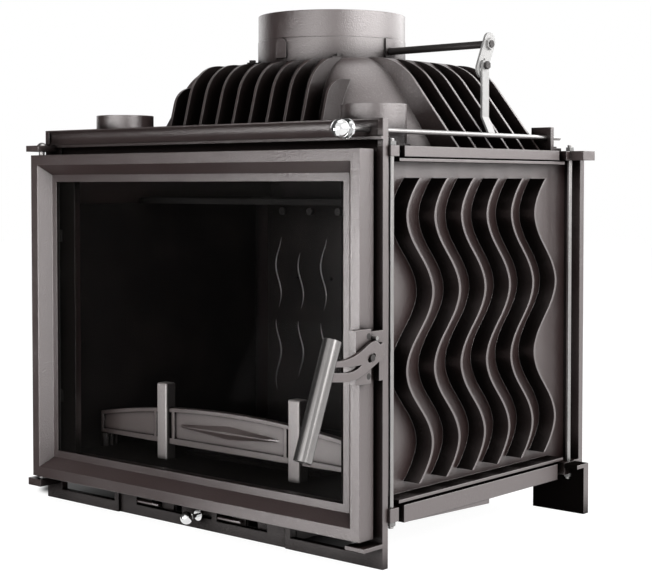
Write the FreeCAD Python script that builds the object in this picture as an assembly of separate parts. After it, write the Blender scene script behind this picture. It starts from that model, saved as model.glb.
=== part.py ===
import FreeCAD, Part
import math
import os
from FreeCAD import Vector

# Cast-iron fireplace insert: bolted cast plates, a glazed door on two hinge pins,
# a finned smoke hood with a flue collar, a flue damper worked by a push rod,
# and an air register with a sliding plate.
# X runs to the right of someone facing the door, Y runs back, Z runs up.
# Places are worked out from the front plate's front face and the floor.
# At the end everything moves so that the origin is the bottom centre of the box.

# Driving dimensions, all in millimetres and degrees.

# Fits
RUN_CLEAR = 0.05
MOVE_GAP = 0.3
SEAT_CLEAR = 0.2

# Casing plates
FRONT_WIDTH = 594.0
FRONT_HEIGHT = 504.0
FRONT_THICK = 9.5
CASE_WIDTH = 596.0
CASE_DEPTH = 422.0
BASE_BOTTOM = 47.0
BASE_RIM = 20.0
TOP_LEVEL = 474.0
TOP_RIM = 12.0
WEB_THICK = 8.0
RIM_WIDTH = 36.0
REAR_THICK = 9.5
LIP_HEIGHT = 3.5
LIP_PROUD = 3.0
LIP_DROP = 23.5
LIP_UNDERCUT = 6.0
LIP_UNDERCUT_DROP = 13.0
FASCIA_HOLLOW = 3.0
FASCIA_EDGE = 1.5
FASCIA_RIB = 8.0

# Side plates and their wavy fins
SIDE_INSET = 24.0
SIDE_THICK = 10.0
FLANGE_THICK = 3.5
FLANGE_DROP = 2.0
FIN_COUNT = 6
FIN_PITCH = 52.5
FIN_CENTRE = 200.0
FIN_THICK = 4.0
FIN_SHY = 1.0
FIN_SWING = 24.5
FIN_WAVES = 2
FIN_TOP_GAP = 24.0
FIN_BOTTOM_GAP = 20.0

# Tie rods and the lugs that they pull together
TIE_RADIUS = 3.0
TIE_INSET = 3.5
TIE_FRONT = 18.0
TIE_SETBACK = 30.0
TIE_NUT_AF = 10.0
TIE_NUT_HEIGHT = 5.0
TIE_TAIL = 3.0
LUG_PROUD = 2.5
LUG_REACH = 6.8
LUG_LONG = 18.0
LUG_LIFT = 4.5
NOTCH_LENGTH = 13.0
NOTCH_DEPTH = 14.0
EAR_REACH = 22.0
EAR_LENGTH = 28.0
EAR_SETBACK = 10.0

# Under-base rails and rear feet
RAIL_DROP = 6.0
RAIL_LENGTH = 198.0
RAIL_WIDTH = 12.0
FOOT_WIDTH = 78.0
FOOT_SETBACK = 32.5
FOOT_THICK = 11.5
FOOT_FLANGE = 6.0
FOOT_EAR_HEIGHT = 66.0
FOOT_TAB_REACH = 16.0
FOOT_TAB_THICK = 5.0
FOOT_ROOM = 1.0
FOOT_BOLT_RADIUS = 4.0
FOOT_BOLT_AF = 13.0
FOOT_BOLT_HEAD = 5.0
FOOT_BOLT_GRIP = 12.0
FOOT_BOLT_EDGE = 12.0
FOOT_BOLT_PITCH = 33.0

# Air register in the foot of the front plate
REGISTER_WIDTH = 298.0
REGISTER_HEIGHT = 33.0
REGISTER_SETBACK = 3.0
REGISTER_LAP = 6.0
REGISTER_LAP_THICK = 3.0
REGISTER_LAP_RISE = 10.0
REGISTER_LAP_BOTTOM = 6.0
WINDOW_START = 31.0
WINDOW_LENGTH = 86.0
WINDOW_BOTTOM = 13.5
WINDOW_HEIGHT = 11.0
PORT_WIDTH = 20.0
PORT_PITCH = 42.0
PORT_START = 2.0
SILL_WINDOW_START = 157.0
SILL_WINDOW_END = 266.0
SILL_WINDOW_HEIGHT = 17.0
SLIDE_TRAVEL = 20.0
SLIDE_THICK = 2.5
SLIDE_HEIGHT = 20.0
SLIDE_MARGIN = 8.0
GUIDE_LIP = 2.0
GUIDE_LAP = 2.0
STEM_RADIUS = 2.5
STEM_HEIGHT = 17.5
AIR_BALL_RADIUS = 8.0
AIR_BALL_REACH = 18.5
AIR_DISC_RADIUS = 7.0
AIR_DISC_THICK = 2.0

# Door
DOOR_WIDTH = 578.4
DOOR_BOTTOM = 35.0
DOOR_HEIGHT = 435.0
DOOR_THICK = 24.0
DOOR_GAP = 7.0
DOOR_BORDER = 13.5
BEVEL_RUN = 13.0
BEVEL_DEPTH = 14.5
SIGHT_RING = 9.4
RING_THICK = 4.0
MOUTH_INSET = 53.0
MOUTH_TOP_INSET = 36.0
GLASS_THICK = 4.0
GLASS_LAP = 8.5
GLASS_PLAY = 1.5
GASKET_THICK = 0.8
ROPE_INSET = 13.0
ROPE_WIDTH = 9.0
ROPE_BED = 3.0
CLIP_WIDTH = 16.0
CLIP_LENGTH = 15.0
CLIP_THICK = 2.0
CLIP_SCREW_RADIUS = 2.0
CLIP_SCREW_HEAD = 3.6
CLIP_SCREW_RISE = 1.8
CLIP_SCREW_GRIP = 7.0

# Door hinge
HINGE_INSET = 6.2
HINGE_DEPTH = 10.5
HINGE_RADIUS = 4.0
HINGE_BORE = 26.0
HINGE_TOP_GAP = 5.0
HINGE_BOTTOM_GAP = 4.0
HINGE_TOP_LUG = 8.0
HINGE_BOTTOM_LUG = 9.5
HINGE_LUG_SIDE = 12.0
HINGE_LUG_FRONT = 15.5
HINGE_HEAD_RADIUS = 7.0
HINGE_HEAD_RISE = 4.5
WASHER_RADIUS = 8.5
REST_LENGTH = 28.0
REST_REACH = 32.0
REST_THICK = 4.5
REST_DROP = 6.0

# Door latch: the lever's own points run from its pivot, as (back, up)
LATCH_WIDTH = 9.9
LATCH_FRONT = 18.0
LATCH_LAP = 8.0
LATCH_HEIGHT = 60.0
LATCH_BELOW = 29.0
LATCH_SCREW_RADIUS = 2.5
LATCH_SCREW_HEAD = 3.8
LATCH_SCREW_EDGE = 8.0
LATCH_SCREW_GRIP = 14.0
PIVOT_HEIGHT = 241.0
PIVOT_FORWARD = 21.0
PIVOT_RADIUS = 3.0
PIVOT_HEAD_RADIUS = 3.8
PIVOT_HEAD = 1.6
LEVER_THICK = 5.0
LEVER_UPPER = [(-80.0, 3.8), (-36.0, 2.7), (-24.0, 5.9), (-12.0, 11.3), (-3.3, 15.8), (13.0, 17.0)]
LEVER_LOWER = [(13.0, -5.0), (5.0, -8.8), (-12.0, -16.5), (-32.0, -22.2), (-46.0, -22.2), (-86.0, -20.3)]
LEVER_END_RADIUS = 11.0
SLIT_UPPER = [(-86.0, -3.4), (-42.4, -6.2), (-28.8, -6.6), (-17.0, -6.2)]
SLIT_LOWER = [(-17.0, -6.2), (-28.8, -11.4), (-42.4, -12.6), (-88.0, -12.4)]
LEVER_SLOT = 14.0
LEVER_SLOT_TILT = 27.0
GRIP_TOP = (-63.5, 23.8)
GRIP_BOTTOM = (-110.8, -99.5)
GRIP_RADIUS = 10.2
GRIP_WALL = 1.6
KEEPER_PIN_RADIUS = 2.5
KEEPER_PIN_THROW = 22.6
KEEPER_PIN_ANGLE = 46.8
KEEPER_PLAY = 0.5
LATCH_SWING = 20.0
LIFT_SWING = 30.0
KEEPER_WIDTH = 12.5
KEEPER_THICK = 6.4
KEEPER_HEIGHT = 56.0
KEEPER_BELOW = 28.0
KEEPER_EAR = 5.0
KEEPER_EAR_HEIGHT = 14.0

# Smoke hood: level shares, half width, front, rear, front and rear corner radii
HOOD_HEIGHT = 117.0
HOOD_WALL = 7.0
HOOD_LEVELS = [
    (0.00, 247.0, 100.0, 400.0, 128.0, 60.0),
    (0.31, 222.0, 107.0, 398.0, 116.0, 58.0),
    (0.61, 196.0, 115.0, 394.0, 104.0, 55.0),
    (0.80, 178.0, 124.0, 387.0, 92.0, 52.0),
    (0.93, 163.0, 136.0, 376.0, 80.0, 48.0),
    (1.00, 148.0, 150.0, 364.0, 66.0, 42.0),
]
HOOD_FIN_THICK = 4.0
HOOD_FRONT_FINS = 8
HOOD_FRONT_PITCH = 30.0
HOOD_FRONT_FOOT = 69.0
HOOD_FRONT_LEAN = 15.6
HOOD_FRONT_ROUND = 57.5
HOOD_SHORT_DROP = 30.0
HOOD_SHORT_ROUND = 30.0
HOOD_SHORT_FOOT = 72.0
HOOD_REAR_FOOT = 413.0
HOOD_REAR_LEAN = 7.0
HOOD_REAR_ROUND = 45.0
HOOD_SIDE_FINS = 6
HOOD_SIDE_PITCH = 35.5
HOOD_SIDE_CENTRE = 263.8
HOOD_SIDE_FOOT = 274.0
HOOD_SIDE_LEAN = 38.6
HOOD_SIDE_ROUND = 82.0
SMOKE_HALF = 200.0
SMOKE_FRONT = 130.0
SMOKE_REAR = 380.0
HOOD_BOLT_RADIUS = 4.0
HOOD_BOLT_AF = 13.0
HOOD_BOLT_HEAD = 5.0
HOOD_BOSS_RADIUS = 9.0
HOOD_BOSS_HEIGHT = 26.0
HOOD_BOSS_INSET = 15.0

# Flue collar and the air spigots
FLUE_AXIS = 256.5
FLUE_RADIUS = 100.0
FLUE_WALL = 7.0
FLUE_HEIGHT = 67.0
FLUE_SHOULDER = 0.6
FLUE_SHOULDER_RISE = 32.0
BOSS_WIDTH = 19.0
BOSS_PROUD = 2.0
BOSS_RISE = 6.0
FLUE_TAB_REACH = 15.0
FLUE_TAB_WIDTH = 16.0
FLUE_TAB_THICK = 5.0
FLUE_BOLT_RADIUS = 2.5
FLUE_BOLT_AF = 8.0
FLUE_BOLT_HEAD = 3.5
SPIGOT_X = 220.7
SPIGOT_Y = 77.0
SPIGOT_RADIUS = 39.0
SPIGOT_WALL = 4.0
SPIGOT_HEIGHT = 50.5
SPIGOT_FLANGE = 4.0

# Flue damper and its push rod
SPINDLE_RISE = 15.0
SPINDLE_RADIUS = 4.7
SPINDLE_END = 5.0
SPINDLE_TAIL = 1.5
DAMPER_PLAY = 4.5
DAMPER_THICK = 3.0
DAMPER_TILT = 12.0
DAMPER_FLAT = 1.0
DAMPER_SCREW_RADIUS = 2.0
DAMPER_SCREW_HEAD = 4.0
DAMPER_SCREW_RISE = 2.5
DAMPER_SCREW_PLACE = 45.0
ROD_X = 274.0
ROD_HEIGHT = 17.5
ROD_RADIUS = 3.0
ROD_KNOB_RADIUS = 10.5
ROD_KNOB_REACH = 46.5
ROD_NECK_RADIUS = 4.8
ROD_DISC_RADIUS = 11.5
ROD_DISC_THICK = 2.2
ROD_DISC_REACH = 34.2
ROD_PULL = 6.0
ROD_PUSH = 20.0
ROD_TAIL = 26.0
BRACKET_FRONT = 365.0
BRACKET_THICK = 7.0
BRACKET_INNER = 21.5
BRACKET_OUTER = 8.5
BRACKET_HEIGHT = 31.0
BRACKET_FOOT = 18.0
BRACKET_FOOT_THICK = 4.0
BRACKET_SCREW_RADIUS = 2.0
BRACKET_SCREW_HEAD = 4.0
POST_THICK = 3.0
POST_WIDTH = 14.0
POST_BEND = 23.0
POST_SET = 11.2
CRANK_THICK = 3.0
CRANK_GAP = 0.8
CRANK_WIDTH = 22.0
CRANK_LEAN = 25.0
CRANK_DROP = 27.5
CRANK_TOP = 4.0
CRANK_FOOT = 5.0
CRANK_SLOT_SHORT = 5.0
CRANK_SLOT_LONG = 6.0
CRANK_PIN_RADIUS = 2.5
CRANK_PIN_TAIL = 2.0
CRANK_SLOT_PLAY = 1.7
CRANK_NUT_AF = 13.0
CRANK_NUT_HEIGHT = 3.0
PIN_NUT_AF = 9.0
PIN_NUT_HEIGHT = 4.0

# Firebox lining, grate, fender and ash box
LINER_THICK = 8.0
LINER_HALF = 228.0
LINER_FRONT = 370.0
LINER_TOP = 404.0
SIDE_LINER_GAP = 2.0
SIDE_LINER_FRONT = 22.0
LINER_STUDS = 8
LINER_STUD_PITCH = 55.8
LINER_STUD_DROP = 13.5
LINER_STUD_RADIUS = 5.5
LINER_STUD_RISE = 4.0
LINER_HOLES = 6
LINER_HOLE_PITCH = 66.0
LINER_HOLE_DROP = 113.0
LINER_HOLE_RADIUS = 3.0
BAFFLE_FRONT = 140.0
BAFFLE_THICK = 8.0
GRATE_WIDTH = 240.0
GRATE_FRONT = 95.0
GRATE_DEPTH = 200.0
GRATE_THICK = 9.0
GRATE_LEDGE = 8.0
GRATE_SEAT = 4.0
GRATE_BARS = 9
GRATE_ROWS = 2
GRATE_WEB = 10.0
FENDER_HALF = 250.0
FENDER_Y = 59.0
FENDER_BOW = 4.0
FENDER_THICK = 7.0
FENDER_BOTTOM = 88.0
FENDER_END_TOP = 117.0
FENDER_TOP = 139.0
FENDER_RAIL = 5.0
FENDER_RAIL_PROUD = 3.0
FENDER_LEAF = 5.0
FENDER_LEAF_END = 2.0
FENDER_LEAF_RISE = 14.0
FENDER_LEAF_CREST = 70.0
FENDER_LEAF_TIP = 0.6
POST_X = 118.0
FENDER_POST_WIDTH = 20.0
FENDER_POST_DEPTH = 8.5
FENDER_POST_HEIGHT = 101.0
FENDER_POST_ROUND = 3.0
ASH_HALF = 150.0
ASH_FLOOR = 6.0
ASH_REAR = 306.0
ASH_FRONT = 19.5
ASH_SHEET = 2.0
ASH_FLANGE = 9.0
ASH_SCREW_RADIUS = 2.0
ASH_SCREW_HEAD = 4.0
ASH_SCREW_RISE = 2.5

# Derived places
X = Vector(1, 0, 0)
Y = Vector(0, 1, 0)
Z = Vector(0, 0, 1)
front_half = FRONT_WIDTH / 2
case_half = CASE_WIDTH / 2
base_top = BASE_BOTTOM + BASE_RIM
base_web = base_top - WEB_THICK
top_under = TOP_LEVEL - TOP_RIM
top_web = TOP_LEVEL - WEB_THICK
rear_front = CASE_DEPTH - REAR_THICK
tie_rear = CASE_DEPTH - TIE_SETBACK
foot_front = CASE_DEPTH - FOOT_SETBACK
side_outer = case_half - SIDE_INSET
side_inner = side_outer - SIDE_THICK
tie_x = case_half - TIE_INSET
lug_edge = case_half + LUG_PROUD
lug_under = BASE_BOTTOM + LUG_LIFT
ear_edge = case_half + EAR_REACH
door_half = DOOR_WIDTH / 2
door_top = DOOR_BOTTOM + DOOR_HEIGHT
door_back = -DOOR_GAP
door_front = door_back - DOOR_THICK
ring_front = door_front + BEVEL_DEPTH
ring_back = ring_front + RING_THICK
sight_inset = DOOR_BORDER + BEVEL_RUN + SIGHT_RING
glass_inset = sight_inset - GLASS_LAP
rebate_inset = glass_inset - GLASS_PLAY
hinge_x = -(door_half - HINGE_INSET)
hinge_y = door_back - HINGE_DEPTH
hinge_top_lug = door_top + HINGE_TOP_GAP
hinge_bottom_lug = DOOR_BOTTOM - HINGE_BOTTOM_GAP
register_half = REGISTER_WIDTH / 2
lap_back = FRONT_THICK + REGISTER_LAP_THICK
slide_front = lap_back + MOVE_GAP
slide_back = slide_front + SLIDE_THICK
slide_bottom = STEM_HEIGHT - SLIDE_HEIGHT / 2
slide_top = STEM_HEIGHT + SLIDE_HEIGHT / 2
latch_outer = door_half + LATCH_WIDTH
lever_inner = latch_outer + MOVE_GAP
lever_outer = lever_inner + LEVER_THICK
pivot_y = door_back - PIVOT_FORWARD
hood_top = TOP_LEVEL + HOOD_HEIGHT
flue_top = hood_top + FLUE_HEIGHT
flue_bore = FLUE_RADIUS - FLUE_WALL
spindle_z = hood_top + SPINDLE_RISE
rod_z = TOP_LEVEL + ROD_HEIGHT
post_inner = ROD_X - POST_SET - POST_THICK / 2
post_outer = post_inner + POST_THICK
crank_outer = post_inner - CRANK_GAP
crank_inner = crank_outer - CRANK_THICK
lean = math.radians(CRANK_LEAN)
crank_throw = CRANK_DROP / math.cos(lean)
pin_y = FLUE_AXIS - CRANK_DROP * math.tan(lean)
pin_z = spindle_z - CRANK_DROP
bracket_back = BRACKET_FRONT + BRACKET_THICK
liner_back = LINER_FRONT + LINER_THICK
side_liner_outer = side_inner - SIDE_LINER_GAP
side_liner_inner = side_liner_outer - LINER_THICK


# Shape helpers
def block(x0, x1, y0, y1, z0, z1):
    return Part.makeBox(x1 - x0, y1 - y0, z1 - z0, Vector(x0, y0, z0))


def bar(radius, start, end):
    along = end - start
    return Part.makeCylinder(radius, along.Length, start, along)


def tube(outer, inner, start, end):
    return bar(outer, start, end).cut(bar(inner, start, end))


def prism(points, along):
    return Part.Face(Part.makePolygon(points + points[:1])).extrude(along)


def curve(points):
    spline = Part.BSplineCurve()
    spline.interpolate(points)
    return spline.toShape()


def arc(start, middle, end):
    return Part.Arc(start, middle, end).toShape()


def hexagon(across, start, along):
    radius = across / math.sqrt(3)
    corners = []
    for i in range(6):
        turn = math.radians(60 * i)
        corners.append(Vector(radius * math.cos(turn), radius * math.sin(turn), 0))
    shape = prism(corners, Vector(0, 0, along.Length))
    shape.Placement = FreeCAD.Placement(start, FreeCAD.Rotation(Z, along))
    return shape


def obround(half_width, start, end, along):
    side = (end - start).cross(along)
    side.normalize()
    side = side * half_width
    ahead = end - start
    ahead.normalize()
    ahead = ahead * half_width
    edges = [
        Part.makeLine(start + side, end + side),
        arc(end + side, end + ahead, end - side),
        Part.makeLine(end - side, start - side),
        arc(start - side, start - ahead, start + side),
    ]
    return Part.Face(Part.Wire(edges)).extrude(along)


def joined(*shapes):
    return shapes[0].multiFuse(list(shapes[1:])).removeSplitter()


def mirrored(shape):
    return shape.mirror(Vector(0, 0, 0), X)


def both_sides(shape):
    return [shape, mirrored(shape)]


def group(shapes):
    return Part.makeCompound(shapes)


def hex_bolt(radius, across, head, start, grip, into):
    """Bolt with its head standing back from start and its shank going into the work."""
    shank = bar(radius, start, start + into * grip)
    return joined(hexagon(across, start - into * head, into * head), shank)


def round_screw(radius, head_radius, head, start, grip, into):
    """Screw with a flat round head on the surface at start."""
    shank = bar(radius, start, start + into * grip)
    return joined(bar(head_radius, start - into * head, start), shank)


# Casing
def fascia_hollow():
    """Long shallow cove in the fascia above the lip, ending short of both edges."""
    chord = LIP_DROP - LIP_HEIGHT - FASCIA_EDGE
    radius = (chord ** 2 / 4 + FASCIA_HOLLOW ** 2) / (2 * FASCIA_HOLLOW)
    reach = front_half - FASCIA_RIB
    y = FASCIA_HOLLOW - radius
    z = FRONT_HEIGHT - FASCIA_EDGE - chord / 2
    return bar(radius, Vector(-reach, y, z), Vector(reach, y, z))


def lip_undercut(start):
    """Sloping groove under the lip, from start to the right edge's rib."""
    lip_z = FRONT_HEIGHT - LIP_DROP
    section = [Vector(start, 0, lip_z - LIP_UNDERCUT_DROP), Vector(start, LIP_UNDERCUT, lip_z),
               Vector(start, 0, lip_z)]
    return prism(section, X * (front_half - FASCIA_RIB - start))


def front_plate():
    """Front plate with the door mouth, both hinge lugs, the door rest and the rod hole."""
    plate = block(-front_half, front_half, 0, FRONT_THICK, 0, FRONT_HEIGHT)
    lip_z = FRONT_HEIGHT - LIP_DROP
    lip = block(-front_half, front_half, -LIP_PROUD, 0, lip_z, lip_z + LIP_HEIGHT)
    lug_x = hinge_x + HINGE_LUG_SIDE
    lug_y = hinge_y - HINGE_LUG_FRONT
    top_lug = block(-front_half, lug_x, lug_y, 0, hinge_top_lug, hinge_top_lug + HINGE_TOP_LUG)
    low_lug = block(-front_half, lug_x, lug_y, 0, hinge_bottom_lug - HINGE_BOTTOM_LUG, hinge_bottom_lug)
    rest_top = DOOR_BOTTOM - REST_DROP
    rest = block(front_half - REST_LENGTH, front_half, -REST_REACH, 0, rest_top - REST_THICK, rest_top)
    plate = plate.cut([fascia_hollow(), lip_undercut(lug_x + FASCIA_RIB)])
    plate = joined(plate, lip, top_lug, low_lug, rest)
    mouth_half = door_half - MOUTH_INSET
    cuts = [
        block(-mouth_half, mouth_half, 0, FRONT_THICK, base_top, door_top - MOUTH_TOP_INSET),
        block(-register_half - SEAT_CLEAR, register_half + SEAT_CLEAR, 0, FRONT_THICK,
              0, REGISTER_HEIGHT + SEAT_CLEAR),
        bar(HINGE_RADIUS, Vector(hinge_x, hinge_y, 0), Vector(hinge_x, hinge_y, FRONT_HEIGHT)),
        bar(ROD_RADIUS + RUN_CLEAR, Vector(ROD_X, -LIP_PROUD, rod_z),
            Vector(ROD_X, FRONT_THICK, rod_z)),
    ]
    cuts += both_sides(block(SILL_WINDOW_START, SILL_WINDOW_END, 0, FRONT_THICK,
                             WINDOW_BOTTOM, WINDOW_BOTTOM + SILL_WINDOW_HEIGHT))
    return plate.cut(cuts)


def lug_set(z0, z1):
    """Four tie-rod lugs, each a block standing a little proud of the casing's side."""
    inner = case_half - NOTCH_DEPTH
    lugs = both_sides(block(inner, lug_edge, FRONT_THICK, TIE_FRONT + LUG_REACH, z0, z1))
    lugs += both_sides(block(inner, lug_edge, tie_rear - LUG_LONG, tie_rear + LUG_REACH, z0, z1))
    return lugs


def notch_set(z0, z1):
    """Notches in the rim beside the lugs, on the side towards the casing's middle."""
    inner = case_half - NOTCH_DEPTH
    front = TIE_FRONT + LUG_REACH
    rear = tie_rear - LUG_LONG
    notches = both_sides(block(inner, lug_edge, front, front + NOTCH_LENGTH, z0, z1))
    notches += both_sides(block(inner, lug_edge, rear - NOTCH_LENGTH, rear, z0, z1))
    return notches


def tie_places():
    return [(x, y) for x in (-tie_x, tie_x) for y in (TIE_FRONT, tie_rear)]


def tie_holes(z0, z1):
    return [bar(TIE_RADIUS + SEAT_CLEAR, Vector(x, y, z0), Vector(x, y, z1)) for x, y in tie_places()]


def rimmed_plate(z0, z1, web0):
    """Plate with a deep rim: a slab hollowed from below or above up to its web."""
    slab = block(-case_half, case_half, FRONT_THICK, CASE_DEPTH, z0, z1)
    inset = case_half - RIM_WIDTH
    low = block(-inset, inset, FRONT_THICK + RIM_WIDTH, CASE_DEPTH - RIM_WIDTH, z0, web0)
    return slab.cut(low)


def base_plate():
    """Base plate: fire floor, rim, side rails below it, tie-rod lugs and the grate seat."""
    plate = rimmed_plate(BASE_BOTTOM, base_top, base_web)
    rail_y = FRONT_THICK + RAIL_LENGTH
    rail = prism([Vector(case_half - RAIL_WIDTH, TIE_FRONT + LUG_REACH + NOTCH_LENGTH, BASE_BOTTOM),
                  Vector(case_half - RAIL_WIDTH, rail_y, BASE_BOTTOM - RAIL_DROP),
                  Vector(case_half - RAIL_WIDTH, rail_y, BASE_BOTTOM)],
                 Vector(RAIL_WIDTH - FIN_SHY, 0, 0))
    plate = plate.cut(notch_set(BASE_BOTTOM, base_top))
    plate = joined(plate, *(lug_set(lug_under, base_top) + both_sides(rail)))
    inner = case_half - NOTCH_DEPTH
    nut_pockets = both_sides(block(inner, lug_edge, FRONT_THICK, TIE_FRONT + LUG_REACH,
                                   BASE_BOTTOM, lug_under))
    nut_pockets += both_sides(block(inner, lug_edge, tie_rear - LUG_LONG, tie_rear + LUG_REACH,
                                    BASE_BOTTOM, lug_under))
    half = GRATE_WIDTH / 2 + SEAT_CLEAR
    seat = base_top - GRATE_SEAT
    grate_hole = block(-half, half, GRATE_FRONT - SEAT_CLEAR, GRATE_FRONT + GRATE_DEPTH + SEAT_CLEAR,
                       seat, base_top)
    ledge = half - GRATE_LEDGE
    through = block(-ledge, ledge, GRATE_FRONT + GRATE_LEDGE, GRATE_FRONT + GRATE_DEPTH - GRATE_LEDGE,
                    base_web, base_top)
    bolts = [bar(FOOT_BOLT_RADIUS, Vector(x, y, BASE_BOTTOM), Vector(x, y, BASE_BOTTOM + FOOT_BOLT_GRIP))
             for x, y in foot_bolt_places()]
    screws = [bar(ASH_SCREW_RADIUS, Vector(x, y, base_web), Vector(x, y, base_top - ASH_SHEET))
              for x, y in ash_screw_places()]
    return plate.cut(nut_pockets + [grate_hole, through] + bolts + screws + tie_holes(lug_under, base_top))


def top_plate():
    """Top plate: smoke opening, spigot holes, tie-rod lugs and rear ears."""
    plate = rimmed_plate(top_under, TOP_LEVEL, top_web)
    plate = plate.cut(notch_set(top_under, TOP_LEVEL))
    ear = block(case_half - RIM_WIDTH, ear_edge, CASE_DEPTH - EAR_SETBACK - EAR_LENGTH,
                CASE_DEPTH - EAR_SETBACK, top_under, TOP_LEVEL)
    plate = joined(plate, *(lug_set(top_under, TOP_LEVEL) + both_sides(ear)))
    smoke = block(-SMOKE_HALF, SMOKE_HALF, SMOKE_FRONT, SMOKE_REAR, top_under, TOP_LEVEL)
    spigots = [bar(SPIGOT_RADIUS + SEAT_CLEAR, Vector(x, SPIGOT_Y, top_under), Vector(x, SPIGOT_Y, TOP_LEVEL))
               for x in (-SPIGOT_X, SPIGOT_X)]
    bolts = [bar(HOOD_BOLT_RADIUS, Vector(x, y, top_under), Vector(x, y, TOP_LEVEL))
             for x, y in hood_bolt_places()]
    screws = [bar(BRACKET_SCREW_RADIUS, Vector(x, y, top_web), Vector(x, y, TOP_LEVEL))
              for x, y in bracket_screw_places()]
    return plate.cut([smoke] + spigots + bolts + screws + tie_holes(top_under, TOP_LEVEL))


def wave_fin(y_mid):
    """Upright fin whose line sways to and fro as it runs down: y = mid - swing * sin."""
    z_top = top_under - FIN_TOP_GAP
    z_low = base_top + FIN_BOTTOM_GAP
    steps = 8 * FIN_WAVES
    line = []
    for i in range(steps + 1):
        share = i / steps
        sway = FIN_SWING * math.sin(2 * math.pi * FIN_WAVES * share)
        line.append((y_mid - sway, z_top + share * (z_low - z_top)))
    near = [Vector(side_outer, y - FIN_THICK / 2, z) for y, z in line]
    far = [Vector(side_outer, y + FIN_THICK / 2, z) for y, z in line]
    edges = [curve(near), Part.makeLine(near[-1], far[-1]), curve(far), Part.makeLine(far[0], near[0])]
    return Part.Face(Part.Wire(edges)).extrude(X * (case_half - FIN_SHY - side_outer))


def right_side_plate():
    """Side plate: wall, a flange at the top and bottom, and a row of wavy fins."""
    wall = block(side_inner, side_outer, FRONT_THICK, rear_front, base_top, top_under)
    y0 = TIE_FRONT + LUG_REACH + FLANGE_THICK
    y1 = tie_rear - LUG_LONG
    high = top_under - FLANGE_DROP
    low = base_top + FLANGE_THICK
    flanges = [block(side_outer, case_half, y0, y1, high - FLANGE_THICK, high),
               block(side_outer, case_half, y0, y1, low, low + FLANGE_THICK)]
    fins = [wave_fin(FIN_CENTRE + (i - (FIN_COUNT - 1) / 2) * FIN_PITCH) for i in range(FIN_COUNT)]
    return joined(wall, *(flanges + fins))


def rear_plate():
    return block(-case_half, case_half, rear_front, CASE_DEPTH, base_top, top_under)


def tie_rods():
    low = lug_under - TIE_NUT_HEIGHT - TIE_TAIL
    high = TOP_LEVEL + TIE_NUT_HEIGHT + TIE_TAIL
    return group([bar(TIE_RADIUS, Vector(x, y, low), Vector(x, y, high)) for x, y in tie_places()])


def tie_rod_nuts():
    nuts = []
    for x, y in tie_places():
        for z in (TOP_LEVEL, lug_under - TIE_NUT_HEIGHT):
            hole = bar(TIE_RADIUS, Vector(x, y, z), Vector(x, y, z + TIE_NUT_HEIGHT))
            nuts.append(hexagon(TIE_NUT_AF, Vector(x, y, z), Z * TIE_NUT_HEIGHT).cut(hole))
    return group(nuts)


def foot_bolt_places():
    y = (foot_front + FOOT_THICK + CASE_DEPTH) / 2
    inner = ear_edge - FOOT_WIDTH
    steps = (FOOT_BOLT_EDGE, FOOT_BOLT_EDGE + FOOT_BOLT_PITCH)
    return [(side * (inner + step), y) for side in (-1, 1) for step in steps]


def right_rear_foot():
    """Rear foot: an upright plate with a bolting flange and an ear outside the base."""
    inner = ear_edge - FOOT_WIDTH
    upright = block(inner, ear_edge, foot_front, foot_front + FOOT_THICK, 0, BASE_BOTTOM)
    flange = block(inner, case_half, foot_front, CASE_DEPTH, BASE_BOTTOM - FOOT_FLANGE, BASE_BOTTOM)
    ear = block(lug_edge + SEAT_CLEAR, ear_edge, foot_front, foot_front + FOOT_THICK,
                BASE_BOTTOM, FOOT_EAR_HEIGHT)
    tab = block(lug_edge + SEAT_CLEAR, ear_edge, foot_front - FOOT_TAB_REACH, foot_front,
                FOOT_EAR_HEIGHT - FOOT_TAB_THICK, FOOT_EAR_HEIGHT)
    holes = [bar(FOOT_BOLT_RADIUS, Vector(x, y, BASE_BOTTOM - FOOT_FLANGE), Vector(x, y, BASE_BOTTOM))
             for x, y in foot_bolt_places() if x > 0]
    nut_room = TIE_NUT_AF / math.sqrt(3) + FOOT_ROOM
    low = lug_under - TIE_NUT_HEIGHT - TIE_TAIL - FOOT_ROOM
    holes.append(bar(nut_room, Vector(tie_x, tie_rear, low), Vector(tie_x, tie_rear, FOOT_EAR_HEIGHT)))
    return joined(upright, flange, ear, tab).cut(holes)


def foot_bolts():
    start = BASE_BOTTOM - FOOT_FLANGE
    grip = FOOT_FLANGE + FOOT_BOLT_GRIP
    return group([hex_bolt(FOOT_BOLT_RADIUS, FOOT_BOLT_AF, FOOT_BOLT_HEAD, Vector(x, y, start), grip, Z)
                  for x, y in foot_bolt_places()])


# Air register
def register_ports(shift):
    """Near-side corners of the ports on both sides, moved along by shift."""
    starts = [WINDOW_START + PORT_START + i * PORT_PITCH for i in range(2)]
    starts += [-WINDOW_START - PORT_START - PORT_WIDTH - i * PORT_PITCH for i in range(2)]
    return [start + shift for start in starts]


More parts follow.
